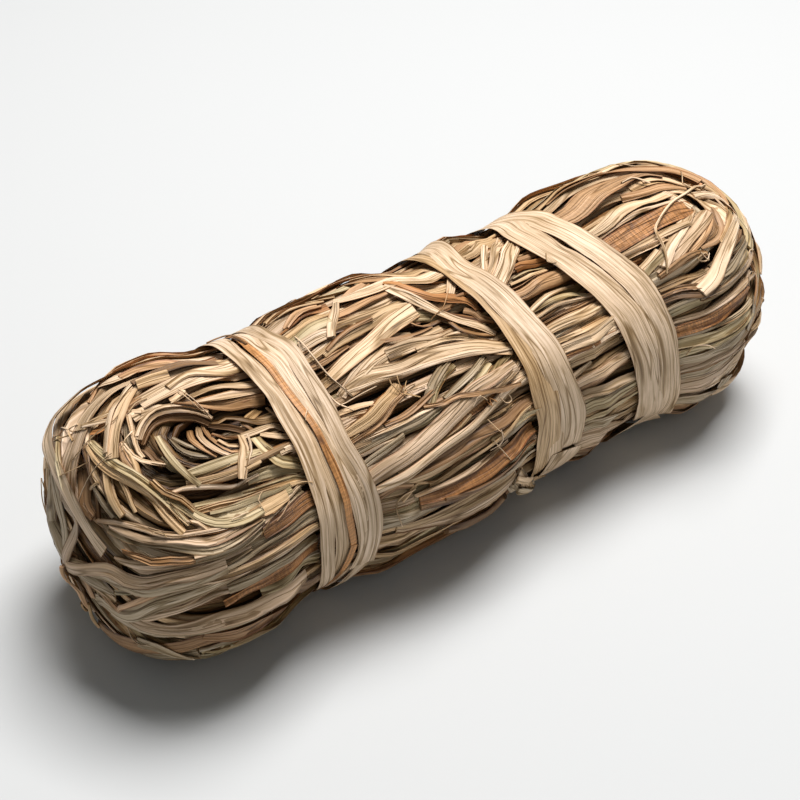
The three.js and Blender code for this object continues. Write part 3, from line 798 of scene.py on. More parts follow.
# The strips that show in the photo, laid one by one. Each has a colour, a width, its route as pairs of x and
# angle round the roll, and what else it needs.
laidByHand = [
    ("leftLow", [
        ("green", 4.7, [-104.5, -65, -102, -49, -97, -39, -90.5, -41, -88.5, -31], {"shade": 0.7}),
        ("grey", 4.7, [-108, -92, -106.5, -78, -104.5, -65, -102, -42, -96, -32], {"shade": 0.8}),
        ("brown", 4.7, [-107.5, -85, -107, -66, -105.5, -42, -102, -29, -97, -19, -91.5, -17, -84.5, -17,
         -79.5, -15]),
        ("grey", 2.9, [-106.5, -40, -104, -30, -100, -32, -96, -36]),
        ("grey", 3.8, [-109.5, -42, -108, -31, -104.5, -18, -99, -12, -93, -9, -85, -10, -76, -10, -64.5,
         -16]),
        ("pink", 3.5, [-109.5, -23, -108, -20, -104.5, -13, -99.5, -8, -93, -5, -85.5, -6, -76.5, -6, -66.5,
         -9], {"shade": 0.85}),
        ("green", 3.5, [-95.5, -32, -89, -26, -80.5, -28, -75.5, -24], {"shade": 0.8}),
        ("grey", 3.5, [-96.5, -26, -90, -21, -82, -22, -77.5, -18], {"shade": 0.8}),
        ("brown", 3.4, [-96.5, -14, -90, -16, -83, -16, -75.5, -16, -68.5, -16]),
        ("brown", 4.7, [-70, -10, -64.5, -18, -60.5, -18], {"shade": 0.6}),
        ("pink", 2.2, [-107, -12, -103.5, -2, -99, 2, -93, 6, -85, 6, -76, 6, -66.5, 5, -62, 3]),
        ("green", 2.7, [-81.5, -1, -74.5, -2, -68.5, -1, -61, -6]),
        ("grey", 2.5, [-82, 2, -75, 2, -69, 2, -61.5, -2], {"shade": 0.85}),
        ("rust", 2.4, [-91.5, 0, -85.5, 2, -79.5, 3, -73, 4, -67, 4, -62, 2], {"rib": 0.8}),
        ("grey", 3.9, [-110.5, -100, -110, -80, -110, -44, -108.5, -17, -105, 3, -99.5, 8, -93.5, 10, -86,
         12, -77.5, 12, -68, 13, -61.5, 12], {"kinds": "ridge"}),
        ("green", 1.7, [-110.5, 192, -110.5, -42, -110, -6, -108.5, 7, -105.5, 12, -100.5, 15, -93, 16,
         -86.5, 17], {"shade": 0.7}),
        ("tan", 1.5, [-110, 197, -110.5, -100, -110.5, -40, -109.5, -20, -109, -12, -107.5, 2, -104, 12,
         -98.5, 15, -93, 15], {"kinds": "round"}),
        ("grey", 2.3, [-90, 6, -82.5, 7, -73, 8, -62, 6]),
        ("pink", 1.7, [-97, 14, -89, 13, -81.5, 14, -72.5, 14, -61.5, 12]),
        ("straw", 1.7, [-97.5, 16, -89.5, 15, -81.5, 15, -73, 16, -61.5, 14], {"shade": 0.85}),
        ("grey", 1.6, [-98, 18, -91.5, 18, -85, 18, -78, 19, -68.5, 20, -60.5, 20], {"kinds": "round"}),
        ("tan", 2.9, [-107, 145, -109, 155, -109.5, 184, -110.5, 200, -110.5, -100, -110, -78], {"kinds":
         "round", "shade": 0.9}),
        ("pale", 3.5, [-107, 140, -109.5, 147, -110, 184, -110.5, 200, -110.5, -100, -110.5, -40, -109.5,
         -12]),
        ("grey", 3.5, [-107.5, 130, -109.5, 138, -110, 165, -110.5, 197, -110.5, -68, -110.5, -18, -109.5,
         -2], {"shade": 0.85}),
        ("grey", 1.6, [-108, 26, -106, 22, -102, 22, -96.5, 21, -89.5, 20, -83, 21], {"shade": 0.85}),
        ("pink", 1.5, [-107.5, 30, -106, 24, -102, 24, -96.5, 23, -90, 22, -83, 22], {"shade": 0.85}),
        ("pink", 1.8, [-109, 33, -105.5, 28, -102, 26, -97, 25, -90.5, 24, -82.5, 24], {"kinds": "round"}),
        ("tan", 1.5, [-107.5, 38, -105, 32, -103.5, 29, -100.5, 28, -97, 26, -91.5, 26, -85, 27]),
        ("grey", 3.3, [-107.5, 130, -109.5, 125, -110.5, 113, -110.5, 35, -110, 17, -108.5, 14, -106, 13,
         -101.5, 16, -96, 17, -90, 18]),
        ("pink", 3.1, [-107.5, 116, -109.5, 110, -110, 84, -110.5, 42, -109.5, 26, -108, 19, -105.5, 18,
         -101.5, 20, -96, 20, -90, 20], {"shade": 0.85}),
        ("grey", 1.6, [-96, 25, -90, 24, -85, 24, -78.5, 26, -71, 29, -63.5, 30]),
        ("pink", 1.5, [-96, 27, -90.5, 26, -85.5, 26, -78.5, 28, -72, 30, -64.5, 33], {"shade": 0.85}),
        ("grey", 1.8, [-108.5, 54, -106.5, 43, -103, 36, -98, 31, -92.5, 27, -86, 27, -78, 29]),
        ("pink", 1.8, [-108, 56, -106, 45, -103, 38, -97.5, 34, -92.5, 30, -86, 30, -78.5, 30], {"shade":
         0.85}),
        ("pink", 1.5, [-109, 66, -107, 55, -103.5, 45, -99.5, 38, -93, 34, -87, 32, -79.5, 32], {"kinds":
         "round"}),
        ("rust", 4.5, [-79, 24, -72.5, 25, -66, 26, -60, 26], {"rib": 0.6, "shade": 0.75}),
        ("cream", 1.3, [-72, 30, -67.5, 31, -64, 32, -60.5, 32], {"kinds": "round"}),
    ]),
    ("leftSide", [
        ("brown", 2.2, [-103, 100, -105.5, 88, -107.5, 76, -109, 66], {"shade": 0.6}),
        ("brown", 1.5, [-101.5, 96, -103.5, 86, -105, 77, -106, 68], {"shade": 0.6}),
        ("rust", 4.6, [-100, 102, -99, 98, -97, 96, -94.5, 101], {"kinds": "flat"}),
        ("tan", 4, [-107, 103, -108, 92, -109, 82, -109, 70], {"shade": 0.7}),
        ("grey", 1.7, [-106.5, 80, -107, 69, -107, 58], {"kinds": "round", "shade": 0.8}),
        ("pale", 1, [-107.5, 84, -106.5, 80, -105.5, 78], {"kinds": "round"}),
        ("straw", 3.2, [-103.5, 79, -105, 70, -105.5, 62, -105.5, 55], {"ends": (0.6, 0.7)}),
        ("straw", 2.3, [-103, 74, -103, 64, -103.5, 56, -103.5, 53], {"ends": (0.6, 0.7)}),
        ("tan", 2.2, [-98.5, 83, -99.5, 75, -99.5, 68, -100, 60]),
        ("straw", 1.9, [-98, 78, -98.5, 72, -99.5, 64, -99.5, 58]),
        ("straw", 2.1, [-103, 98, -103.5, 86, -103, 76, -101.5, 66, -99.5, 56, -98.5, 46, -96.5, 36]),
        ("green", 2.1, [-102, 98, -102, 87, -101.5, 76, -100, 67, -98.5, 58, -96.5, 48, -95, 38]),
        ("pale", 1.2, [-98, 82, -98, 76, -97.5, 72, -95.5, 68, -92.5, 64], {"kinds": "round"}),
        ("pink", 7.3, [-94, 116, -97.5, 114, -101.5, 110, -105, 107, -108, 106, -109.5, 104], {"kinds":
         "flat"}),
        ("green", 3.3, [-103.5, 130, -106.5, 118, -108, 110, -109, 102]),
        ("pale", 7.1, [-78.5, 119, -84.5, 116, -89.5, 116, -94.5, 114, -98.5, 112, -101.5, 110], {"kinds":
         "flat"}),
        ("pale", 1.8, [-100.5, 110, -98.5, 104, -95.5, 99, -93, 94, -90.5, 90], {"kinds": "round"}),
        ("cream", 1.4, [-100.5, 108, -98.5, 100, -96.5, 96, -93.5, 92], {"kinds": "round"}),
        ("pale", 3.6, [-86, 107, -90.5, 101, -95, 94, -98.5, 88, -101.5, 80], {"kinds": "ridge", "ends":
         (0.9, 0.9)}),
        ("cream", 1.9, [-87, 109, -91.5, 102, -95.5, 97, -99, 90, -101.5, 84], {"ends": (0.9, 0.9)}),
    ]),
    ("leftEye", [
        ("brown", 1.7, [-91, 77, -91.5, 70, -90, 63, -86, 57, -77.5, 53, -72, 52], {"kinds": "round",
         "shade": 0.5}),
        ("grey", 1.8, [-88.5, 76, -88, 68, -85.5, 62, -81, 58, -75.5, 56], {"kinds": "round", "shade": 0.6}),
        ("grey", 1.3, [-87.5, 76, -85.5, 68, -83.5, 64, -81.5, 60], {"kinds": "round", "shade": 0.7}),
        ("green", 1.5, [-93.5, 68, -92.5, 61, -89.5, 56, -83.5, 55, -77.5, 54], {"shade": 0.6}),
        ("tan", 2.3, [-82, 77, -83.5, 71, -83, 64, -81, 58]),
        ("pink", 2.1, [-79.5, 76, -81.5, 70, -81.5, 63, -79, 56, -76.5, 54]),
        ("tan", 1.6, [-78.5, 76, -79.5, 70, -79.5, 64, -78, 58, -75.5, 56]),
        ("tan", 1.7, [-78.5, 69, -76, 64, -73, 62]),
        ("cream", 1.9, [-79, 64, -77.5, 60, -74.5, 58]),
        ("brown", 2.7, [-78.5, 76, -76, 72, -73, 68, -70.5, 64], {"shade": 0.7}),
        ("straw", 3, [-63, 74, -66.5, 71, -69.5, 68], {"kinds": "flat"}),
        ("brown", 1.4, [-70, 69, -69.5, 66, -68, 62]),
        ("green", 2.9, [-91, 56, -84.5, 54, -78.5, 53, -71.5, 52], {"kinds": "flat"}),
        ("straw", 2.4, [-91.5, 53, -86, 50, -79.5, 48, -73, 48]),
        ("green", 3.6, [-77, 44, -71, 43, -65, 41, -60, 36], {"kinds": "flat"}),
        ("green", 3.6, [-69.5, 59, -69.5, 53, -67.5, 46, -63, 42, -59.5, 38], {"kinds": "flat"}),
        ("cream", 2.2, [-66.5, 48, -63, 48, -60.5, 46], {"kinds": "flat", "ends": (0.9, 0.9)}),
        ("pale", 2.4, [-67.5, 60, -64, 56, -60, 52], {"kinds": "round"}),
        ("cream", 2.4, [-72.5, 62, -68, 62, -63, 62, -59.5, 57]),
        ("green", 2.1, [-93, 44, -87.5, 42, -82, 40, -74.5, 38, -65, 36, -60, 32]),
        ("straw", 1.7, [-92.5, 41, -87, 40, -81, 38, -73.5, 37, -66.5, 35, -60.5, 32]),
        ("cream", 1.2, [-96.5, 53, -92.5, 52, -87, 48, -81.5, 44, -77.5, 44, -74, 44], {"kinds": "round"}),
        ("green", 3.4, [-89.5, 38, -84, 36, -78.5, 35, -73, 34, -67, 34], {"kinds": "flat", "ends": (0.6,
         0.7)}),
        ("straw", 4, [-81, 32, -77.5, 32, -73.5, 32, -69, 32], {"kinds": "flat", "ends": (0.6, 0.7)}),
        ("green", 2.3, [-96.5, 51, -94, 44, -91.5, 38, -88, 34, -82.5, 32, -77.5, 32], {"kinds": "flat"}),
        ("straw", 1.6, [-97.5, 61, -96.5, 54, -94, 48, -92.5, 42]),
        ("pale", 0.9, [-95, 40, -93, 38, -91.5, 34], {"kinds": "round"}),
        ("green", 1.9, [-91, 78, -91.5, 71, -91.5, 64, -90.5, 56, -89, 50], {"kinds": "ridge"}),
        ("brown", 2.6, [-95.5, 80, -95, 74, -95, 69, -94, 65], {"kinds": "flat", "shade": 0.75}),
        ("pale", 1.4, [-93, 92, -95, 84, -96.5, 77, -96.5, 72], {"kinds": "round"}),
        ("straw", 1.8, [-78, 78, -76, 74, -73, 74, -69.5, 70, -66.5, 66, -61.5, 64, -59, 60]),
        ("pale", 3.1, [-93, 90, -89, 90, -85.5, 87, -81, 84, -77.5, 80]),
        ("brown", 1.8, [-95, 78, -92, 82, -88.5, 84, -84, 82, -80, 79, -77.5, 74]),
        ("pink", 1.9, [-95, 80, -92, 84, -88.5, 86, -84, 84, -79.5, 80, -76.5, 75]),
        ("cream", 1.7, [-95, 82, -92, 86, -88, 88, -83.5, 86, -79.5, 83, -76.5, 78]),
        ("tan", 3, [-83, 88, -79.5, 84, -75, 80, -70.5, 78, -65, 78, -60.5, 76]),
        ("pale", 3, [-73, 62, -74.5, 56, -77.5, 50, -79, 45]),
        ("cream", 1, [-72, 60, -73.5, 54, -76, 50, -78.5, 45], {"kinds": "round"}),
        ("cream", 1.4, [-61.5, 72, -61, 67, -59.5, 60], {"kinds": "round"}),
        ("straw", 1.7, [-60, 73, -59, 66, -59, 56]),
    ]),
    ("leftTop", [
        ("brown", 5.3, [-86.5, 108, -79.5, 106, -72, 104, -65.5, 102], {"shade": 0.8}),
        ("straw", 3.7, [-86.5, 104, -83, 102, -79, 101]),
        ("cream", 5.9, [-87.5, 132, -85.5, 121, -79, 124, -72.5, 124, -66, 122, -59.5, 117], {"kinds":
         "flat"}),
        ("tan", 3.5, [-86, 120, -78.5, 119, -70.5, 115, -62, 114]),
        ("cream", 2.8, [-78, 84, -72, 82, -65, 82, -59.5, 80]),
        ("cream", 4.5, [-78, 88, -72, 88, -66, 87, -59.5, 84], {"kinds": "flat"}),
        ("cream", 5.1, [-89.5, 94, -84.5, 94, -78.5, 94, -71.5, 94, -63.5, 96, -58.5, 95], {"kinds":
         "flat"}),
        ("pale", 2.6, [-82, 94, -76, 96, -70, 93, -61, 94], {"kinds": "round"}),
        ("pale", 2.2, [-83.5, 88, -81.5, 88, -79, 90], {"ends": (0.9, 0.9)}),
    ]),
    ("midLow", [
        ("brown", 4.7, [-21.5, -29, -10.5, -39, -3.5, -40, -1, -32], {"shade": 0.7}),
        ("grey", 3.5, [-27, -18, -18, -18, -8.5, -20, -2, -16]),
        ("pink", 3.5, [-27.5, -14, -19.5, -14, -10, -15, -3, -12], {"shade": 0.85}),
        ("pink", 3.4, [-39, -8, -29, -12, -19.5, -14, -9.5, -14, -0.5, -12]),
        ("straw", 3, [-39.5, -6, -30, -9, -20, -10, -10.5, -10, -1.5, -9], {"shade": 0.85}),
        ("grey", 3.3, [-46, -4, -36, -2, -27, -2, -17, -4, -7, -4, 5.5, -8]),
        ("green", 2.3, [-44, 2, -36, 2, -27, 2, -17, 0, -7, 0, 7.5, -6]),
        ("green", 2.1, [-39.5, 6, -30, 5, -20, 4, -12.5, 4, -3, 3, 8, 0], {"shade": 0.85}),
        ("grey", 2, [-45.5, 0, -37, 0, -27, 0, -16.5, -1, -6, -2, 7, -8], {"kinds": "round"}),
        ("pink", 2.8, [-46, 6, -41.5, 6, -34.5, 6]),
        ("straw", 2.6, [-46.5, 9, -41.5, 10, -36, 10], {"shade": 0.85}),
        ("brown", 2.6, [-48, 15, -43, 16, -37, 16, -29, 12], {"shade": 0.8}),
        ("straw", 2.8, [-39, 16, -29, 14, -21, 15, -13, 16, -4.5, 18, 5, 18, 12, 18], {"shade": 0.85}),
        ("brown", 2.7, [-39, 18, -30, 18, -22, 18, -13.5, 20, -5, 20, 4, 21, 11.5, 21], {"shade": 0.85}),
        ("green", 1.9, [-9.5, 15, -2.5, 16, 4.5, 16, 10.5, 14]),
        ("tan", 1.9, [-46.5, 8, -42.5, 12, -39, 14, -35, 12], {"kinds": "ridge"}),
        ("straw", 2, [-38, 7, -35.5, 10, -33, 12, -28.5, 9, -24.5, 8, -21, 9, -17.5, 10, -12.5, 11],
         {"twist": [(0, 0), (0.3, 0.2), (0.6, 0.9), (1, 1)]}),
        ("straw", 1.4, [-29.5, 8, -24.5, 8, -18, 10, -12.5, 12, -6, 15, 0.5, 18, 6.5, 19], {"kinds":
         "round"}),
        ("green", 1.9, [-46.5, 32, -42, 33, -34.5, 34, -26.5, 34, -20, 36], {"shade": 0.8}),
        ("grey", 1.9, [-47, 34, -42.5, 35, -34.5, 36, -27, 36, -20, 38], {"shade": 0.8}),
        ("cream", 1, [-45, 38, -37.5, 38, -29.5, 38, -22.5, 38], {"kinds": "round"}),
        ("cream", 1.3, [-48.5, 32, -44.5, 32, -40, 33, -35.5, 33], {"kinds": "round"}),
        ("grey", 2.4, [-47.5, 27, -42, 30, -37, 32, -33.5, 33], {"kinds": "round"}),
        ("rust", 2, [-24, 25, -19, 26, -13.5, 29, -8, 30, -2, 32], {"kinds": "flat", "rib": 1.0}),
        ("straw", 1.2, [-38, 20, -31.5, 22, -24.5, 24, -18, 26, -13, 29], {"kinds": "round"}),
        ("green", 2.2, [-22, 39, -19, 44, -14.5, 48, -10, 50]),
        ("grey", 2.2, [-23.5, 41, -20, 46, -15.5, 50, -10.5, 53], {"shade": 0.85}),
        ("green", 2.7, [-17, 36, -10.5, 38, -5.5, 41, 1, 44]),
        ("grey", 2.7, [-18, 39, -11.5, 42, -6.5, 44, 0.5, 48], {"shade": 0.85}),
        ("green", 2.1, [-11, 36, -4, 38, 4, 42, 9, 44]),
        ("pale", 1.1, [-12, 36, -5, 38, 0.5, 40], {"kinds": "round"}),
        ("pink", 5, [-47.5, 20, -40, 24, -32, 26, -24.5, 29, -16.5, 33, -9, 36, -0.5, 37, 7.5, 38], {"kinds":
         "rodlike"}),
        ("pink", 2.2, [-8.5, 34, -1, 35, 5.5, 36, 10, 39]),
        ("cream", 2.6, [-47, 15, -38, 18, -25, 22, -14, 24, -3, 29, 4, 30, 9.5, 31], {"kinds": "rod"}),
    ]),
    ("midRust", [
        ("brown", 3.5, [-33.5, 2, -26.5, 1, -19, 0, -11.5, 1, -4.5, 4, 7.5, 2], {"rib": 0.4}),
        ("rust", 2.9, [-33.5, 5, -27, 4, -20, 4, -12.5, 4, -5, 6, 7.5, 6], {"rib": 0.5}),
    ]),
    ("midLow", [
        ("pink", 1, [-34.5, 7, -27, 7, -19, 7, -11.5, 8, -3.5, 10], {"kinds": "round"}),
        ("brown", 1.6, [-27, 2, -20, 0, -11.5, -1, -2, 0, 6.5, -1]),
    ]),
    ("midTop", [
        ("straw", 2, [-50, 38, -46.5, 40, -43.5, 41, -38.5, 43]),
        ("brown", 1.5, [-37.5, 40, -31, 40, -24.5, 42, -20, 44]),
        ("pale", 1.5, [-48.5, 52, -44.5, 50, -39.5, 48]),
        ("pale", 2.3, [-48.5, 54, -44.5, 53, -40.5, 52, -36.5, 50]),
        ("straw", 3.8, [-49, 43, -44.5, 44, -40, 45, -35, 48, -30.5, 50, -27, 53], {"kinds": "flat", "ends":
         (0.6, 0.7)}),
        ("tan", 1.8, [-47.5, 39, -43.5, 40, -37.5, 42, -32, 46, -27, 48], {"ends": (0.6, 0.7)}),
        ("tan", 1.3, [-25, 40, -20, 38, -15, 38, -10.5, 36, -5, 34, -0.5, 32, 6.5, 30]),
        ("brown", 1.8, [-46.5, 77, -40.5, 76, -33.5, 78, -28.5, 79], {"shade": 0.7}),
        ("straw", 2, [-46, 84, -40, 83, -33, 84, -27, 86]),
        ("brown", 1.6, [-46.5, 81, -40.5, 80, -33.5, 81], {"shade": 0.8}),
        ("tan", 1.8, [-46.5, 80, -40, 78, -32.5, 80]),
        ("straw", 2, [-47, 73, -42.5, 72, -36, 74]),
        ("straw", 2.4, [-47.5, 68, -43, 69, -36.5, 72]),
        ("cream", 3.9, [-42.5, 60, -35.5, 65, -27, 70, -20, 74, -13, 73], {"kinds": "flat"}),
        ("pale", 3.7, [-39, 59, -29.5, 64, -21.5, 66, -13.5, 68, -4.5, 69], {"kinds": "flat"}),
        ("cream", 3.9, [-25.5, 66, -17, 66, -9, 64, -0.5, 64, 8, 55]),
        ("pale", 2.3, [-17, 63, -8.5, 62, -1, 59, 8, 51]),
        ("straw", 3.5, [-43.5, 122, -37, 117, -30, 120, -24, 117]),
        ("rust", 3.5, [-45.5, 110, -40, 107, -32, 109, -25.5, 110]),
        ("tan", 3.5, [-41, 109, -34, 112, -27.5, 112]),
        ("straw", 3.5, [-46, 101, -40, 100, -34.5, 101, -29, 100]),
        ("green", 4, [-46.5, 97, -40, 95, -32, 94]),
        ("cream", 3.3, [-44, 91, -39.5, 90, -34.5, 88], {"ends": (0.9, 0.9)}),
        ("straw", 2.9, [-40, 130, -31, 130, -26.5, 122, -20, 117]),
        ("green", 2.9, [-30, 130, -24, 126, -18, 121, -11, 122, -5, 118]),
        ("tan", 2.9, [-13, 130, -10, 117, -4.5, 109, 0.5, 104]),
        ("straw", 4.1, [-8, 130, -4, 121, 0.5, 111, 9.5, 112, 13, 104]),
        ("green", 3.3, [-12.5, 82, -7, 79, -2, 74, 0, 68]),
        ("straw", 2.4, [-40.5, 80, -32.5, 82, -23, 84, -13.5, 86, -7, 84]),
        ("brown", 1.3, [-39.5, 81, -30.5, 84, -22, 85]),
        ("pale", 5.1, [-42.5, 70, -34, 73, -25.5, 76, -16.5, 80, -8, 82], {"kinds": "flat"}),
        ("brown", 1.5, [-24, 74, -18.5, 72, -13, 71, -7, 72]),
        ("pale", 4.8, [-40.5, 60, -33, 61, -24.5, 58, -14.5, 58, -5.5, 55, 2, 52, 10, 46], {"kinds":
         "flat"}),
        ("cream", 1.6, [-41, 60, -33.5, 58, -25.5, 56, -14.5, 54, -3, 51, 9.5, 46], {"kinds": "round"}),
        ("cream", 5.1, [-2, 98, 6, 101, 13, 98]),
        ("straw", 3.3, [-3, 88, 4, 90, 9.5, 91]),
        ("rust", 2.2, [-2, 81, 0.5, 76, 4.5, 72, 8, 68, 11, 63], {"shade": 0.7}),
        ("tan", 2.8, [7, 76, 9, 72, 9.5, 67, 12, 63]),
        ("tan", 1.7, [-13, 81, -10.5, 75, -7, 73, -2.5, 73, -1.5, 70, -1.5, 66, 1, 61, 9, 56], {"kinds":
         "round"}),
    ]),
    ("midFold", [
        ("cream", 7.6, [-23.5, 110, -19.5, 106, -12.5, 103, -6, 102, 0, 99, 10, 101], {"kinds": "flat"}),
        ("cream", 2.8, [-24.5, 106, -29, 97, -33.5, 90, -36, 85], {"kinds": "ridge", "ends": (0.9, 0.9)}),
    ]),
    ("midTop", [
        ("rust", 3, [-9, 102, -7, 98, -5, 91, -1, 85, 5, 82, 9.5, 78, 10.5, 72], {"kinds": "ridge"}),
    ]),
    ("midCurl", [
        ("cream", 3.3, [-10, 100, -8.5, 92, -6, 84, -2.5, 76, 1, 70, 6, 64, 9.5, 56]),
    ]),
    ("midTop", [
        ("cream", 2.7, [16, 102, 10.5, 92, 6, 84], {"kinds": "flat", "ends": (0.9, 0.9)}),
    ]),
    ("between", [
        ("brown", 4.1, [24.5, -36, 31.5, -38, 33, -29], {"shade": 0.7}),
        ("pink", 7.1, [23, -26, 29, -22, 41, -36, 45, -30], {"kinds": "flat"}),
        ("grey", 2.9, [23, -14, 27.5, -11, 36, -16, 42, -16]),
        ("green", 4.2, [22.5, -8, 28.5, -5, 36.5, -7, 41.5, -6]),
        ("green", 4.1, [22, 0, 26.5, 3, 34, 2, 41, 2]),
        ("pale", 2.8, [21.5, 8, 26, 10, 33, 8, 41, 6]),
        ("brown", 2.3, [21, 12, 26, 14, 33, 15, 40.5, 14], {"rib": 0.6}),
        ("pink", 3.2, [21, 16, 27, 18, 34.5, 18, 40.5, 19], {"kinds": "flat"}),
        ("cream", 1.5, [21, 20, 24.5, 22, 28.5, 24]),
        ("straw", 3.4, [20.5, 27, 25.5, 28, 30, 28, 35.5, 28, 40, 28], {"kinds": "flat", "shade": 0.85}),
        ("cream", 1.1, [20.5, 30, 27.5, 32, 35, 32, 40, 32], {"kinds": "round"}),
        ("rust", 1.4, [20.5, 32, 25.5, 32, 32, 32]),
        ("straw", 1.9, [20.5, 40, 25.5, 40, 30.5, 40, 35.5, 40, 40.5, 40]),
        ("pale", 3.3, [20.5, 36, 26, 36, 32.5, 36, 40, 38], {"kinds": "round"}),
        ("tan", 1.3, [20, 50, 25.5, 50, 31.5, 50, 40, 50]),
        ("brown", 1.3, [20, 53, 24, 53, 29.5, 54]),
        ("pale", 3.7, [19.5, 45, 23.5, 46, 28.5, 46, 34.5, 46, 40.5, 47], {"kinds": "round"}),
        ("cream", 1.4, [21.5, 54, 27.5, 55, 34, 54, 40.5, 52]),
        ("green", 2, [21.5, 58, 27.5, 58, 35, 58, 39.5, 54]),
        ("cream", 1.9, [21, 58, 26.5, 61, 34.5, 63, 39.5, 62]),
        ("tan", 5.2, [20, 70, 25, 68, 33, 69, 41, 69], {"kinds": "rodlike"}),
        ("brown", 1.2, [21.5, 74, 27, 72, 35.5, 74]),
        ("straw", 2, [23.5, 76, 28.5, 74, 35.5, 75]),
        ("green", 2.1, [25.5, 78, 30, 77, 37.5, 78]),
        ("rust", 2.6, [27.5, 81, 32.5, 81, 39, 81]),
        ("brown", 2.1, [31, 85, 37.5, 86, 40.5, 84]),
        ("straw", 2.9, [24, 114, 29.5, 111, 40.5, 116]),
        ("straw", 3.5, [22, 108, 27, 104, 37.5, 110]),
        ("pale", 3.1, [20.5, 101, 26, 98, 31.5, 98]),
        ("cream", 2.2, [30.5, 104, 24, 94, 19.5, 85]),
        ("cream", 2.5, [39, 109, 26, 91, 19.5, 84], {"kinds": "pleats"}),
        ("cream", 4.4, [39.5, 101, 28, 86, 23, 81, 17.5, 76], {"kinds": "pleats"}),
    ]),
    ("rightLow", [
        ("brown", 3.5, [56.5, -38, 64, -40, 71.5, -38], {"shade": 0.8}),
        ("grey", 6.4, [55, -30, 64, -26, 78.5, -34, 80, -23]),
        ("pink", 6.4, [49.5, -18, 59, -16, 69, -16, 73, -12], {"shade": 0.85}),
        ("pink", 4.6, [55, -12, 64, -10, 74.5, -12, 81.5, -11]),
        ("grey", 3.7, [55.5, -7, 65, -6, 76, -6, 88.5, -7]),
        ("pink", 3.3, [54.5, -4, 64, -2, 74, -2, 85, -2], {"shade": 0.85}),
        ("grey", 3.1, [54, 2, 62.5, 2, 71.5, 2, 77.5, 2, 85.5, 5, 91.5, 8]),
        ("green", 2.3, [54.5, 7, 62, 8, 68, 6, 74, 6, 81.5, 7, 89, 9]),
        ("green", 3.2, [54.5, 12, 62.5, 12, 71.5, 10, 81, 11, 92, 14]),
        ("grey", 1.7, [54.5, 16, 63, 16, 72, 15, 81.5, 15, 91.5, 15]),
        ("grey", 4.7, [92, 16, 90, 10, 86, 2]),
        ("tan", 4.7, [99, 38, 98, 29, 96, 20, 91, 12]),
    ]),
    ("rightRust", [
        ("rust", 3.7, [54, 19, 64, 19, 72.5, 19, 81.5, 21, 90, 22], {"kinds": "flat", "rib": 1.0}),
    ]),
    ("rightLow", [
        ("pink", 1.6, [54, 24, 60.5, 24, 69.5, 23, 78.5, 24, 89, 26, 95.5, 26], {"kinds": "round"}),
        ("brown", 2.1, [55, 32, 63, 32, 74, 32, 84, 34, 93.5, 34], {"shade": 0.7}),
        ("green", 2.7, [53.5, 27, 63, 29, 74, 29, 85.5, 32, 95, 36, 103.5, 41]),
        ("grey", 2.6, [53.5, 30, 62.5, 32, 73, 32, 84, 36, 92.5, 40, 99, 44], {"shade": 0.85}),
        ("pink", 2.2, [67, 30, 75.5, 30, 85.5, 32, 93.5, 34, 100, 38]),
    ]),
    ("rightEye", [
        ("brown", 2.5, [55.5, 36, 61, 36, 68, 32, 74.5, 33], {"shade": 0.5}),
        ("tan", 1.7, [56, 38, 62, 38, 70, 35, 76, 36], {"shade": 0.6}),
        ("straw", 2.2, [57.5, 41, 65, 41, 72, 40, 76, 40], {"shade": 0.75}),
        ("tan", 4.2, [93, 69, 91.5, 63, 89, 56, 83.5, 52, 76, 51], {"kinds": "flat", "shade": 0.7}),
        ("straw", 3.1, [102.5, 71, 97, 60, 91.5, 53, 85, 48]),
        ("green", 4.7, [103, 67, 103.5, 59, 103.5, 49, 97.5, 40]),
        ("grey", 1.8, [99, 48, 91, 44, 84, 42, 78, 40], {"shade": 0.7}),
        ("grey", 1.9, [97.5, 44, 89.5, 40, 82, 36, 75.5, 35], {"shade": 0.7}),
        ("brown", 1.9, [99, 52, 92, 47, 85.5, 44], {"shade": 0.6}),
        ("tan", 2.3, [90.5, 64, 84.5, 58, 78, 53, 71.5, 50]),
        ("pink", 4.3, [89, 65, 81.5, 60, 74, 56, 66.5, 52, 59.5, 48], {"kinds": "ridge"}),
        ("tan", 2.2, [59, 46, 67, 48, 73, 48, 77, 46]),
        ("cream", 3.6, [67, 33, 74.5, 36, 82, 42, 88.5, 48, 95.5, 54, 103.5, 62], {"kinds": "ridge", "ends":
         (0.9, 0.9)}),
        ("cream", 4.1, [90.5, 77, 97.5, 76, 102.5, 72, 103.5, 62]),
        ("green", 3.5, [100, 90, 101, 86, 102, 80]),
        ("straw", 2.9, [101, 88, 101.5, 83, 102.5, 78]),
        ("cream", 3.7, [86, 70, 80.5, 65, 74.5, 60, 67.5, 56, 61, 50], {"kinds": "ridge", "ends": (0.9,
         0.9)}),
        ("cream", 4.4, [84, 84, 84.5, 76, 86, 70]),
    ]),
    ("rightTop", [
        ("pale", 2.7, [54, 66, 61, 64, 70, 63, 79, 62]),
        ("cream", 1.8, [54.5, 63, 59.5, 62, 65, 60, 69, 60]),
        ("rust", 1.8, [54.5, 60, 58, 58, 61.5, 58]),
        ("pale", 2.2, [55, 53, 59, 54, 64.5, 57]),
        ("green", 2.2, [55.5, 49, 59.5, 52, 64.5, 54]),
    ]),
    ("rightRust", [
        ("rust", 6.1, [52.5, 72, 62, 71, 71.5, 71, 81, 71, 86, 70], {"kinds": "flat", "rib": 1.0}),
    ]),
    ("rightTop", [
        ("pink", 1.8, [55.5, 79, 64, 79, 71.5, 80, 78, 78, 84.5, 76], {"kinds": "round"}),
        ("pale", 4.2, [56, 83, 61.5, 82, 68, 84, 74.5, 84, 78.5, 82, 84, 82]),
        ("tan", 2.6, [71.5, 90, 78, 87, 84.5, 86, 90.5, 82]),
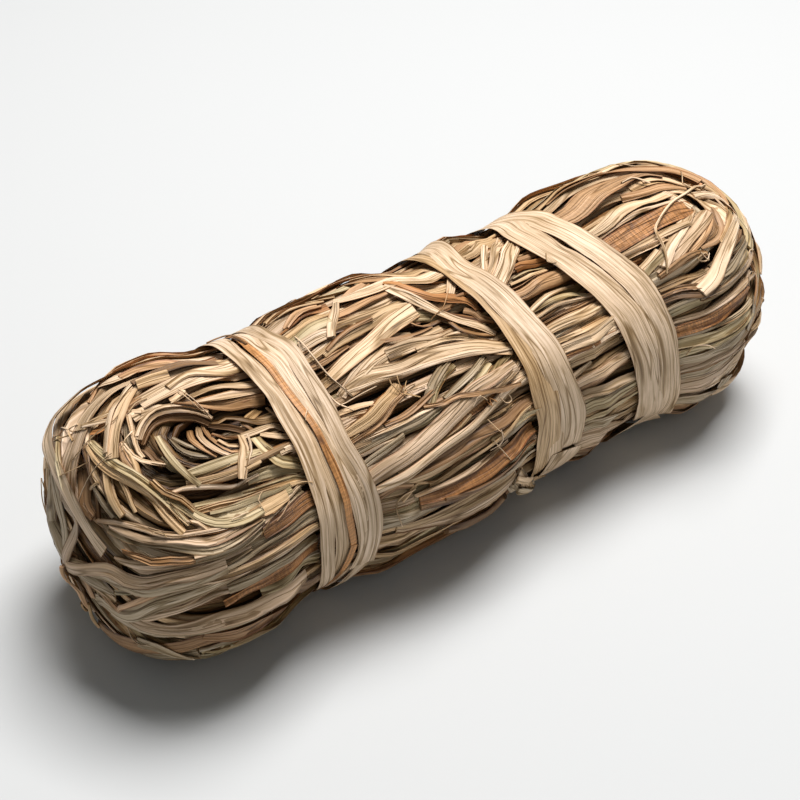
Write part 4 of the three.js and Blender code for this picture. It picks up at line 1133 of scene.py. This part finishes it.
        ("straw", 3.5, [75.5, 92, 83, 92, 90.5, 88]),
        ("pale", 4.1, [80.5, 94, 86.5, 92, 91.5, 85, 95, 80]),
        ("tan", 9, [53, 98, 59, 96, 67, 98, 75, 99, 84, 100, 88.5, 94], {"kinds": "flat", "rib": 0.35}),
        ("rust", 3.5, [89, 109, 95.5, 102, 99, 95, 100.5, 88]),
        ("tan", 5.3, [58.5, 114, 66.5, 112, 77, 112, 83.5, 110, 90, 104, 98, 98, 100.5, 90]),
        ("straw", 3.5, [56.5, 116, 61.5, 115, 69, 114, 78, 114]),
        ("green", 3.5, [56.5, 126, 59.5, 118, 66.5, 116]),
    ]),
]
laid = {"step": 2.0, "window": 4.5, "stiffness": 0.62, "tuck": 0.6, "ends": (0.8, 0.8)}
broad = {"from": 4.2, "laid": {"window": 11.0, "stiffness": 0.9, "crumple": 0.6}}  # broad strips are stiffer
rodLaid = {"window": 10.0, "stiffness": 0.88, "wave": 0.03, "crumple": 0.4}
handGroups = {}
for group, strips in laidByHand:
    for colour, width, via, *extras in strips:
        extra = extras[0] if extras else {}
        firmness = broad["laid"] if width > broad["from"] else {}
        if extra.get("kinds") in ("rod", "rodlike"):
            firmness = rodLaid
        strip = layStrip(tracedRoute(via), width, colour, **{**laid, **firmness, **extra})
        handGroups.setdefault(group, []).append(strip)
# each piece: its groups of strips, its slot, and the solids it stands in for
handPieces = {
    "leftFrontStrips": (["leftLow"], "raffia_straw", []),
    "leftEndStrips": (["leftSide", "leftEye", "leftTop"], "raffia_pale",
                      ["left_end_short_strip", "left_end_upright_strip", "left_end_top_strip"]),
    "frontStrips": (["midLow"], "raffia_straw",
                    ["front_plain_strip_1", "front_plain_strip_2", "front_green_strip"]),
    "frontRustStrip": (["midRust"], "raffia_rust", ["front_rust_strip"]),
    "topStrips": (["midTop"], "raffia_straw", ["top_long_strip", "top_broad_strip"]),
    "foldedStrip": (["midFold"], "raffia_pale", ["top_folded_strip", "top_folded_leg"]),
    "curledStrip": (["midCurl"], "raffia_rust", ["top_curled_strip"]),
    "betweenTiesStrips": (["between"], "raffia_tan", ["between_ties_strip_1", "between_ties_strip_2"]),
    "rightFrontStrips": (["rightLow"], "raffia_green", ["right_front_strip"]),
    "ribbedStrips": (["rightRust"], "raffia_rust", ["right_rust_strip", "right_front_rust_strip"]),
    "rightEndStrips": (["rightEye", "rightTop"], "raffia_pale", ["right_top_strip"]),
}
for name, (groups, slotName, nodes) in handPieces.items():
    makePiece(name, [strip for group in groups for strip in handGroups[group]], raffia, nodes)
reportHeights("strips laid one by one")

# Short strips that lie across the back, where the windings would look too even. The photo doesn't show them.
backStrips = []
for colour, width, via in (
    ("straw", 6, [-44, 146, -22, 151, 0, 158]),
    ("tan", 5.5, [-43, 184, -22, 177, 0, 186]),
    ("green", 5.5, [58, 152, 72, 146, 86, 148]),
):
    backStrips.append(layStrip(tracedRoute(via), width, colour, **laid))
crossing = {
    "widths": (1.6, 5.2),
    "lengths": (16, 60),
    "slant": 0.9,  # degrees round the roll for each millimetre along it
    "wave": 4,
    "turnedAway": -0.12,  # they stay where the roll faces away from the camera by more than this
    "leftMargin": 4,
    "rightMargin": 6,
    # lowest and highest x, lowest and highest angle, and how many
    "places": [(-60, 60, 120, 290, 60), (-100, -62, 90, 330, 50), (50, 98, 90, 330, 50)],
}
for lowX, highX, lowAngle, highAngle, count in crossing["places"]:
    for _ in range(count):
        x, angle = dice.uniform(lowX, highX), dice.uniform(lowAngle, highAngle)
        length, slant = dice.uniform(*crossing["lengths"]) / 2, dice.normal(0, crossing["slant"])
        t = np.linspace(-1, 1, 7)
        leastX = -roll["length"] / 2 + crossing["leftMargin"]
        xs = np.clip(x + t * length, leastX, roll["length"] / 2 - crossing["rightMargin"])
        route = girthPoint(xs, angle + slant * t * length + crossing["wave"] * np.sin(t * 2 + x))
        if (rollNormal(route) @ towardsCamera).max() > crossing["turnedAway"]:
            continue
        width, colour = dice.uniform(*crossing["widths"]), pickColour(windingLook["colours"])
        backStrips.append(layStrip(smoothThrough(route, 6), width, colour, **laid))
makePiece("backStrips", backStrips, raffia,
          ["back_slanting_strip_1", "back_slanting_strip_2", "back_slanting_strip_3"])

# The bands of the ties. Each has its piece, colour, width, cross ribs, place from the tie's middle on the far
# side, and the route of the part that shows, as pairs of x and angle.
tieBands = [
    ("leftTie", "pale", 4.1, 0, -2.6, [-57.5, 130, -59, 104, -58.5, 86, -57.5, 72, -57, 60, -57, 49, -57, 38,
     -56.5, 26, -56, 15, -55, 1, -54, -13, -53, -33]),
    ("leftTie", "cream", 5, 0, -4.4, [-57.5, 130, -59.5, 104, -60, 86, -59.5, 72, -60, 60, -60, 48, -60, 37,
     -60, 26, -60, 14, -60, 0, -58.5, -17, -55.5, -40]),
    ("leftTie", "cream", 5.2, 0, 1.6, [-50.5, 125, -52.5, 102, -52, 89, -52.5, 74, -52.5, 64, -52.5, 52, -52,
     40, -51, 28, -49.5, 15, -48.5, 2, -47.5, -12, -48, -26]),
    ("leftTie", "cream", 4.7, 0, 4.2, [-47.5, 130, -48, 108, -47.5, 92, -48.5, 78, -49, 66, -49.5, 54, -50,
     41, -48.5, 28, -47, 14, -46.5, 2, -46.5, -10, -46.5, -24]),
    ("leftTie", "amber", 2, 0.7, -0.6, [-53, 130, -55.5, 102, -55.5, 86, -55.5, 72, -55, 60, -54.5, 50,
     -54.5, 41, -54, 30, -53.5, 20, -53, 8, -51.5, -6]),
    ("middleTie", "straw", 7.5, 0, -3.4, [14.5, 130, 15, 115, 14, 99, 13.5, 86, 14, 76, 13.5, 64, 13, 53,
     12.5, 42, 12.5, 32, 12, 20, 12, 7, 11.5, -5, 11.5, -20, 14, -40]),
    ("middleTie", "pale", 4.6, 0, 0.2, [20, 130, 16, 102, 15.5, 87, 15.5, 74, 15.5, 63, 15, 50, 15.5, 39, 15,
     28, 15.5, 16, 15, 2, 14.5, -12, 16.5, -34]),
    ("middleTie", "cream", 8.2, 0, 3, [21.5, 128, 16, 99, 16, 84, 16.5, 72, 16.5, 60, 17, 50, 17.5, 40, 17.5,
     29, 18, 17, 18.5, 4, 18.5, -8, 18.5, -20]),
    ("rightTie", "cream", 9.9, 0, -3, [47, 124, 42.5, 102, 41.5, 86, 42.5, 73, 43, 60, 43.5, 48, 44.5, 37,
     44.5, 24, 45, 11, 45, -2, 46, -17, 50.5, -38]),
    ("rightTie", "cream", 7.4, 0, 3.4, [51.5, 112, 50.5, 97, 51, 84, 51.5, 70, 52, 58, 52.5, 47, 52.5, 36,
     52.5, 22, 52, 9, 52, -6, 53.5, -23, 55.5, -38]),
]
tieLook = {
    "grooves": 5,
    "grooveDepth": 0.14,
    "grooveWidth": 0.07,  # as a share of half the band
    "grooveLength": 61,  # a groove comes and goes over this length
    "over": 0.26,  # each band of a tie lies this much higher than the one before
    "hidden": [150, 190, 230, 270, 310],  # angles that the route passes behind and below
    "clear": 8,  # and the least angle from the part that shows to the first of those
    "laid": {"step": 1.5, "window": 9, "ends": (1, 1), "columns": 20, "tuck": 0, "stiffness": 0.98,
             "firm": True, "crumple": 0.2, "wave": 0.03, "thickness": 0.12, "marks": False, "shade": 0.84},
}
tiePieces = {
    "leftTie": ("left_tie", ties[0]),
    "middleTie": ("middle_tie", ties[1]),
    "rightTie": ("right_tie", ties[2]),
}


# A band's section along it: 0.22 + 0.1 * (1 - u ^ 2), less grooves of the form
# depth * exp(-((u - place) / width) ^ 2), whose depth follows the upper half of a sine along the band.
def tieSection():
    places = dice.uniform(-0.85, 0.85, tieLook["grooves"])
    phases = dice.uniform(0, 1, tieLook["grooves"])

    def section(s, u):
        crown = 0.22 + 0.1 * (1 - u**2) + np.zeros((len(s), 1))
        for place, phase in zip(places, phases):
            wave = np.sin(2 * np.pi * (s / tieLook["grooveLength"] + phase))
            depth = tieLook["grooveDepth"] * np.clip(wave, 0, 1)
            crown = crown - depth[:, None] * np.exp(-(((u - place) / tieLook["grooveWidth"]) ** 2))
        return np.maximum(crown, 0.03)
    return section


# the bands of one tie lie side by side, each a little over the one before where they overlap
tieStrips = {name: [] for name in tiePieces}
for name, colour, width, rib, offset, via in tieBands:
    x, degrees = np.reshape(np.array(via, float), (-1, 2)).T
    first, last = degrees.max() + tieLook["clear"], degrees.min() + 360 - tieLook["clear"]
    hidden = np.array([angle for angle in tieLook["hidden"] if first < angle < last], float)
    x = np.concatenate([x[::-1], np.full(len(hidden), tiePieces[name][1]["x"] + offset), x[-1:]])
    degrees = np.concatenate([degrees[::-1], hidden, [degrees[-1] + 360]])
    route = smoothThrough(girthPoint(x, degrees), 10)
    gap = tieLook["over"] * (1 + len(tieStrips[name]))
    band = layStrip(route, width, colour, sections=tieSection(), rib=rib, gap=gap, **tieLook["laid"])
    tieStrips[name].append(band)
for name, (node, _) in tiePieces.items():
    makePiece(name, tieStrips[name], smoothRaffia, [node])
    for strip in tieStrips[name]:
        mark(*strip["top"])

# The strip that stands clear of the left end: its route by x, angle and height over the plain roll, with a
# sharp bend at each of the close pairs of places.
standing = {
    "width": 4.4,
    "colour": "cream",
    "via": [(-58, 126, 0.6), (-70, 130, 1.6), (-80, 131, 2.6), (-87, 133, 3.4), (-91.6, 135, 4.3),
            (-92.4, 135, 4.2), (-95.9, 138, 4.2), (-98.8, 141, 4.6), (-99.6, 141, 4.4), (-103, 139, 3.4),
            (-106.5, 124, 2.6), (-108.3, 105, 2.4), (-109.1, 82, 2.6), (-109.2, 58, 3.0), (-108.8, 41, 3.4)],
}
x, degrees, height = np.array(standing["via"], float).T
along = np.concatenate([girthPoint(x, degrees), height[:, None]], 1)
along = evenly(smoothThrough(along, 6), 1.5)
lengths = np.concatenate([[0], np.cumsum(np.linalg.norm(np.diff(along[:, :3], axis=0), axis=1))])
stand = np.stack([lengths / lengths[-1], along[:, 3]], -1)
standingStrip = layStrip(along[:, :3], standing["width"], standing["colour"], "hem", step=1.5, stand=stand,
                         ends=(0.5, 0.95), marks=False, wave=0.05)
makePiece("standingStrip", [standingStrip], raffia, ["left_end_standing_strip"])

# Loose fibres, each with a colour, a width and its route as pairs of x and angle.
fibresLaid = [
    ("cream", 0.5, [-43, 97, -43, 84, -43, 74, -42.5, 67, -40.5, 57]),
    ("cream", 0.5, [-46.5, 64, -45, 58, -42.5, 51]),
    ("cream", 0.4, [-47.5, 56, -43.5, 56, -38, 56, -33.5, 56]),
    ("cream", 0.7, [101, 87, 90, 79, 80.5, 75, 73, 70, 69, 66, 65.5, 58, 63, 52, 60.5, 46]),
    ("cream", 0.4, [-39, 9, -40, 4, -38.5, -5]), ("pale", 0.4, [-39.5, 7, -37.5, 10, -34, 10]),
    ("cream", 0.35, [-9.5, 16, -7.5, 10, -5.5, 4]), ("cream", 0.4, [-6.5, 18, -7, 13, -10.5, 11]),
    ("pale", 0.35, [-9, 24, -7.5, 19, -6, 16]), ("cream", 0.4, [68, 5, 64.5, 9, 60.5, 10, 58, 6]),
    ("cream", 0.5, [39, 81, 36.5, 76, 38.5, 74]), ("brown", 0.9, [-59, 130, -54, 130, -55, 107]),
    ("cream", 0.5, [-101, 134, -102, 119, -103, 121, -104, 129]),
    ("pale", 0.7, [-100.5, 114, -102, 120, -103.5, 111]), ("straw", 0.4, [-28.5, 48, -26.5, 51, -24, 53]),
    ("straw", 0.4, [-28.5, 49, -25.5, 50, -23, 50]), ("pale", 0.4, [-28, 48, -25, 48, -21.5, 47]),
    ("straw", 0.4, [-28.5, 49, -28, 53, -27, 56]), ("straw", 0.4, [-29, 48, -30, 53, -29.5, 56]),
    ("straw", 0.5, [-28.5, 48, -26.5, 46, -24.5, 44]), ("cream", 0.8, [74, 94, 78, 94, 81, 89]),
    ("cream", 0.5, [72.5, 46, 76, 47, 77, 44, 74.5, 44, 73, 46]),
    ("cream", 0.5, [74.5, 48, 75, 44, 77.5, 46]), ("straw", 0.35, [-97.5, 49, -96.5, 44, -95, 38]),
    ("straw", 0.35, [-96.5, 49, -95.5, 44, -94, 38]), ("pale", 0.35, [-76, 38, -78, 36, -77.5, 32]),
    ("straw", 0.4, [-76.5, 28, -78.5, 26, -80, 24]), ("tan", 0.4, [-69.5, 30, -72.5, 28, -75, 26]),
    ("straw", 0.35, [-67, 34, -64, 34, -61.5, 32]), ("pale", 0.35, [-53.5, 61, -55.5, 58, -56, 56]),
    ("tan", 0.35, [7, 87, -0.5, 77, -6.5, 74]), ("cream", 0.35, [-12.5, 32, -10, 35, -8, 32]),
    ("rust", 0.35, [-7.5, 31, -6.5, 28, -6.5, 32, -4.5, 29]),
    ("cream", 0.35, [-3, 30, -1, 26, 1.5, 26, 0.5, 29]), ("cream", 0.35, [-86, 34, -84.5, 34, -82, 34]),
    ("pale", 0.4, [-79.5, 88, -82, 86, -84, 86]), ("cream", 0.5, [-93, 92, -90.5, 94, -87.5, 94]),
    ("cream", 0.4, [-95, 84, -97.5, 82, -99, 79]),
]
# tufts low on the left end, and the knot's end, with also a kind of folds and a height over what they lie on
tuftsLaid = [
    ("brown", 1.9, [-110.5, -100, -110, -100, -108.5, -100], "rod", 0.5),
    ("tan", 1.9, [-110.5, -100, -109.5, -94, -108.5, -95], "rod", 0.5),
    ("straw", 1.9, [-109.5, -88, -108.5, -86, -107.5, -84], "rod", 0.5),
    ("straw", 1.9, [-109, -100, -108, -98, -108, -98], "rod", 0.5),
    ("grey", 5.3, [-2, -16, 4, -30, 9, -40, 11.5, -40], "ridge", 1.2),
    ("pale", 3, [1, -13, 8.5, -40, 4, -30], "ridge", 1.8),
    ("grey", 4.1, [10, -40, 3, -30, 2.5, -30], "round", 1.4),
    ("pale", 2.3, [-1, -14, 2.5, -20, 7.5, -28], "rod", 1.6),
]
looseLaid = {"step": 1.2, "tuck": 0.2, "ends": (0.7, 0.7), "stiffness": 0.9, "window": 2.0, "columns": 4,
             "crumple": 0.3}
looseStrips = []
for colour, width, via in fibresLaid:
    lift = [(0, 0.1), (0.5, 0.5), (1, 0.1)]
    fibre = layStrip(tracedRoute(via, 8), width, colour, "rod", lift=lift, marks=False, **looseLaid)
    looseStrips.append(fibre)
for colour, width, via, kind, up in tuftsLaid:
    lift = [(0, 0), (0.35, up), (0.7, up), (1, 0)]
    looseStrips.append(layStrip(tracedRoute(via, 8), width, colour, kind, lift=lift, **looseLaid))
# and short ones at random, where no tie lies
fibreLook = {
    "count": 34,
    "lengths": (4, 15),
    "widths": (0.2, 0.36),
    "turnLength": 150,  # a turn of the loop is about this long
    "bends": (10, 8),  # degrees of slant and of curve
    "latitudes": (-85, 88),
    "tieShare": 0.6,  # none lies nearer to a tie than this, as a share of its shoulder
    "colours": {"cream": 2, "pale": 2, "straw": 1},
    "laid": {"step": 1.5, "tuck": 0.1, "ends": (0.6, 0.6), "stiffness": 0.9, "columns": 4, "marks": False,
             "crumple": 0.3},
}
for _ in range(fibreLook["count"]):
    turn, latitude = dice.uniform(0, 4), np.degrees(np.arcsin(dice.uniform(-0.9, 1)))
    reach = dice.uniform(*fibreLook["lengths"]) / fibreLook["turnLength"]
    t = np.linspace(-1, 1, 9)
    slant, curve = dice.normal(0, fibreLook["bends"])
    bent = np.clip(latitude + slant * t + curve * t**2, *fibreLook["latitudes"])
    route = loopPoint(np.radians(bent), turn + t * reach / 2)
    if underTie(route[:, 0]).max() > fibreLook["tieShare"]:
        continue
    width, colour = dice.uniform(*fibreLook["widths"]), pickColour(fibreLook["colours"])
    lift = [(0, 0.2), (dice.uniform(0.3, 0.7), dice.uniform(0.2, 0.6)), (1, 0.3)]
    looseStrips.append(layStrip(route, width, colour, "rod", lift=lift, **fibreLook["laid"]))
makePiece("looseFibres", looseStrips, raffia)

# A plain pale floor and soft studio light. Places and sizes are in metres, and power in watts.
stageLook = {
    "floor": "#c8cbcd",
    "floorRoughness": 0.9,
    "size": 6.0,
    "sky": (0.95, 0.97, 0.94),
    "skyStrength": 0.15,
    "lit": (0, 0, 0.03),  # both lights face this
    "lights": {
        "keyLight": {"place": (0.28, 0.12, 1.1), "power": 20.5, "size": 0.62, "colour": (1, 0.97, 0.945)},
        "fillLight": {"place": (-0.4, -0.9, 0.9), "power": 0.65, "size": 0.7, "colour": (1, 1, 1)},
    },
}


def makeStage():
    half = stageLook["size"] / 2
    corners = [(-half, -half, 0), (half, -half, 0), (half, half, 0), (-half, half, 0)]
    mesh = bpy.data.meshes.new("floor")
    mesh.from_pydata(corners, [], [(0, 1, 2, 3)])
    floor = bpy.data.objects.new("floor", mesh)
    bpy.context.scene.collection.objects.link(floor)
    material = bpy.data.materials.new("paintedFloor")
    material.use_nodes = True
    shader = material.node_tree.nodes["Principled BSDF"]
    shader.inputs["Base Color"].default_value = (*linear(stageLook["floor"]), 1)
    shader.inputs["Roughness"].default_value = stageLook["floorRoughness"]
    floor.data.materials.append(material)
    world = bpy.data.worlds.new("studio")
    world.use_nodes = True
    sky = world.node_tree.nodes["Background"]
    sky.inputs["Color"].default_value = (*stageLook["sky"], 1)
    sky.inputs["Strength"].default_value = stageLook["skyStrength"]
    bpy.context.scene.world = world
    bpy.context.scene.view_settings.view_transform = "Standard"


def addLight(name, look):
    light = bpy.data.lights.new(name, "AREA")
    light.energy, light.size, light.color = look["power"], look["size"], look["colour"]
    lamp = bpy.data.objects.new(name, light)
    lamp.location = look["place"]
    lamp.rotation_mode = "QUATERNION"
    lamp.rotation_quaternion = (Vector(stageLook["lit"]) - Vector(look["place"])).to_track_quat("-Z", "Y")
    bpy.context.scene.collection.objects.link(lamp)


makeStage()
for name, look in stageLook["lights"].items():
    addLight(name, look)

back = Vector(towardsCamera)
camera = bpy.data.objects.new("camera", bpy.data.cameras.new("camera"))
camera.data.lens = cameraLook["lens"]
camera.data.sensor_width = cameraLook["sensor"]
camera.data.clip_start = 0.01
camera.location = (Vector(cameraLook["target"]) + back * cameraLook["distance"]) * 0.001
camera.rotation_mode = "QUATERNION"
camera.rotation_quaternion = (-back).to_track_quat("-Z", "Y")
bpy.context.scene.collection.objects.link(camera)
bpy.context.scene.camera = camera

print("view transform", bpy.context.scene.view_settings.view_transform)
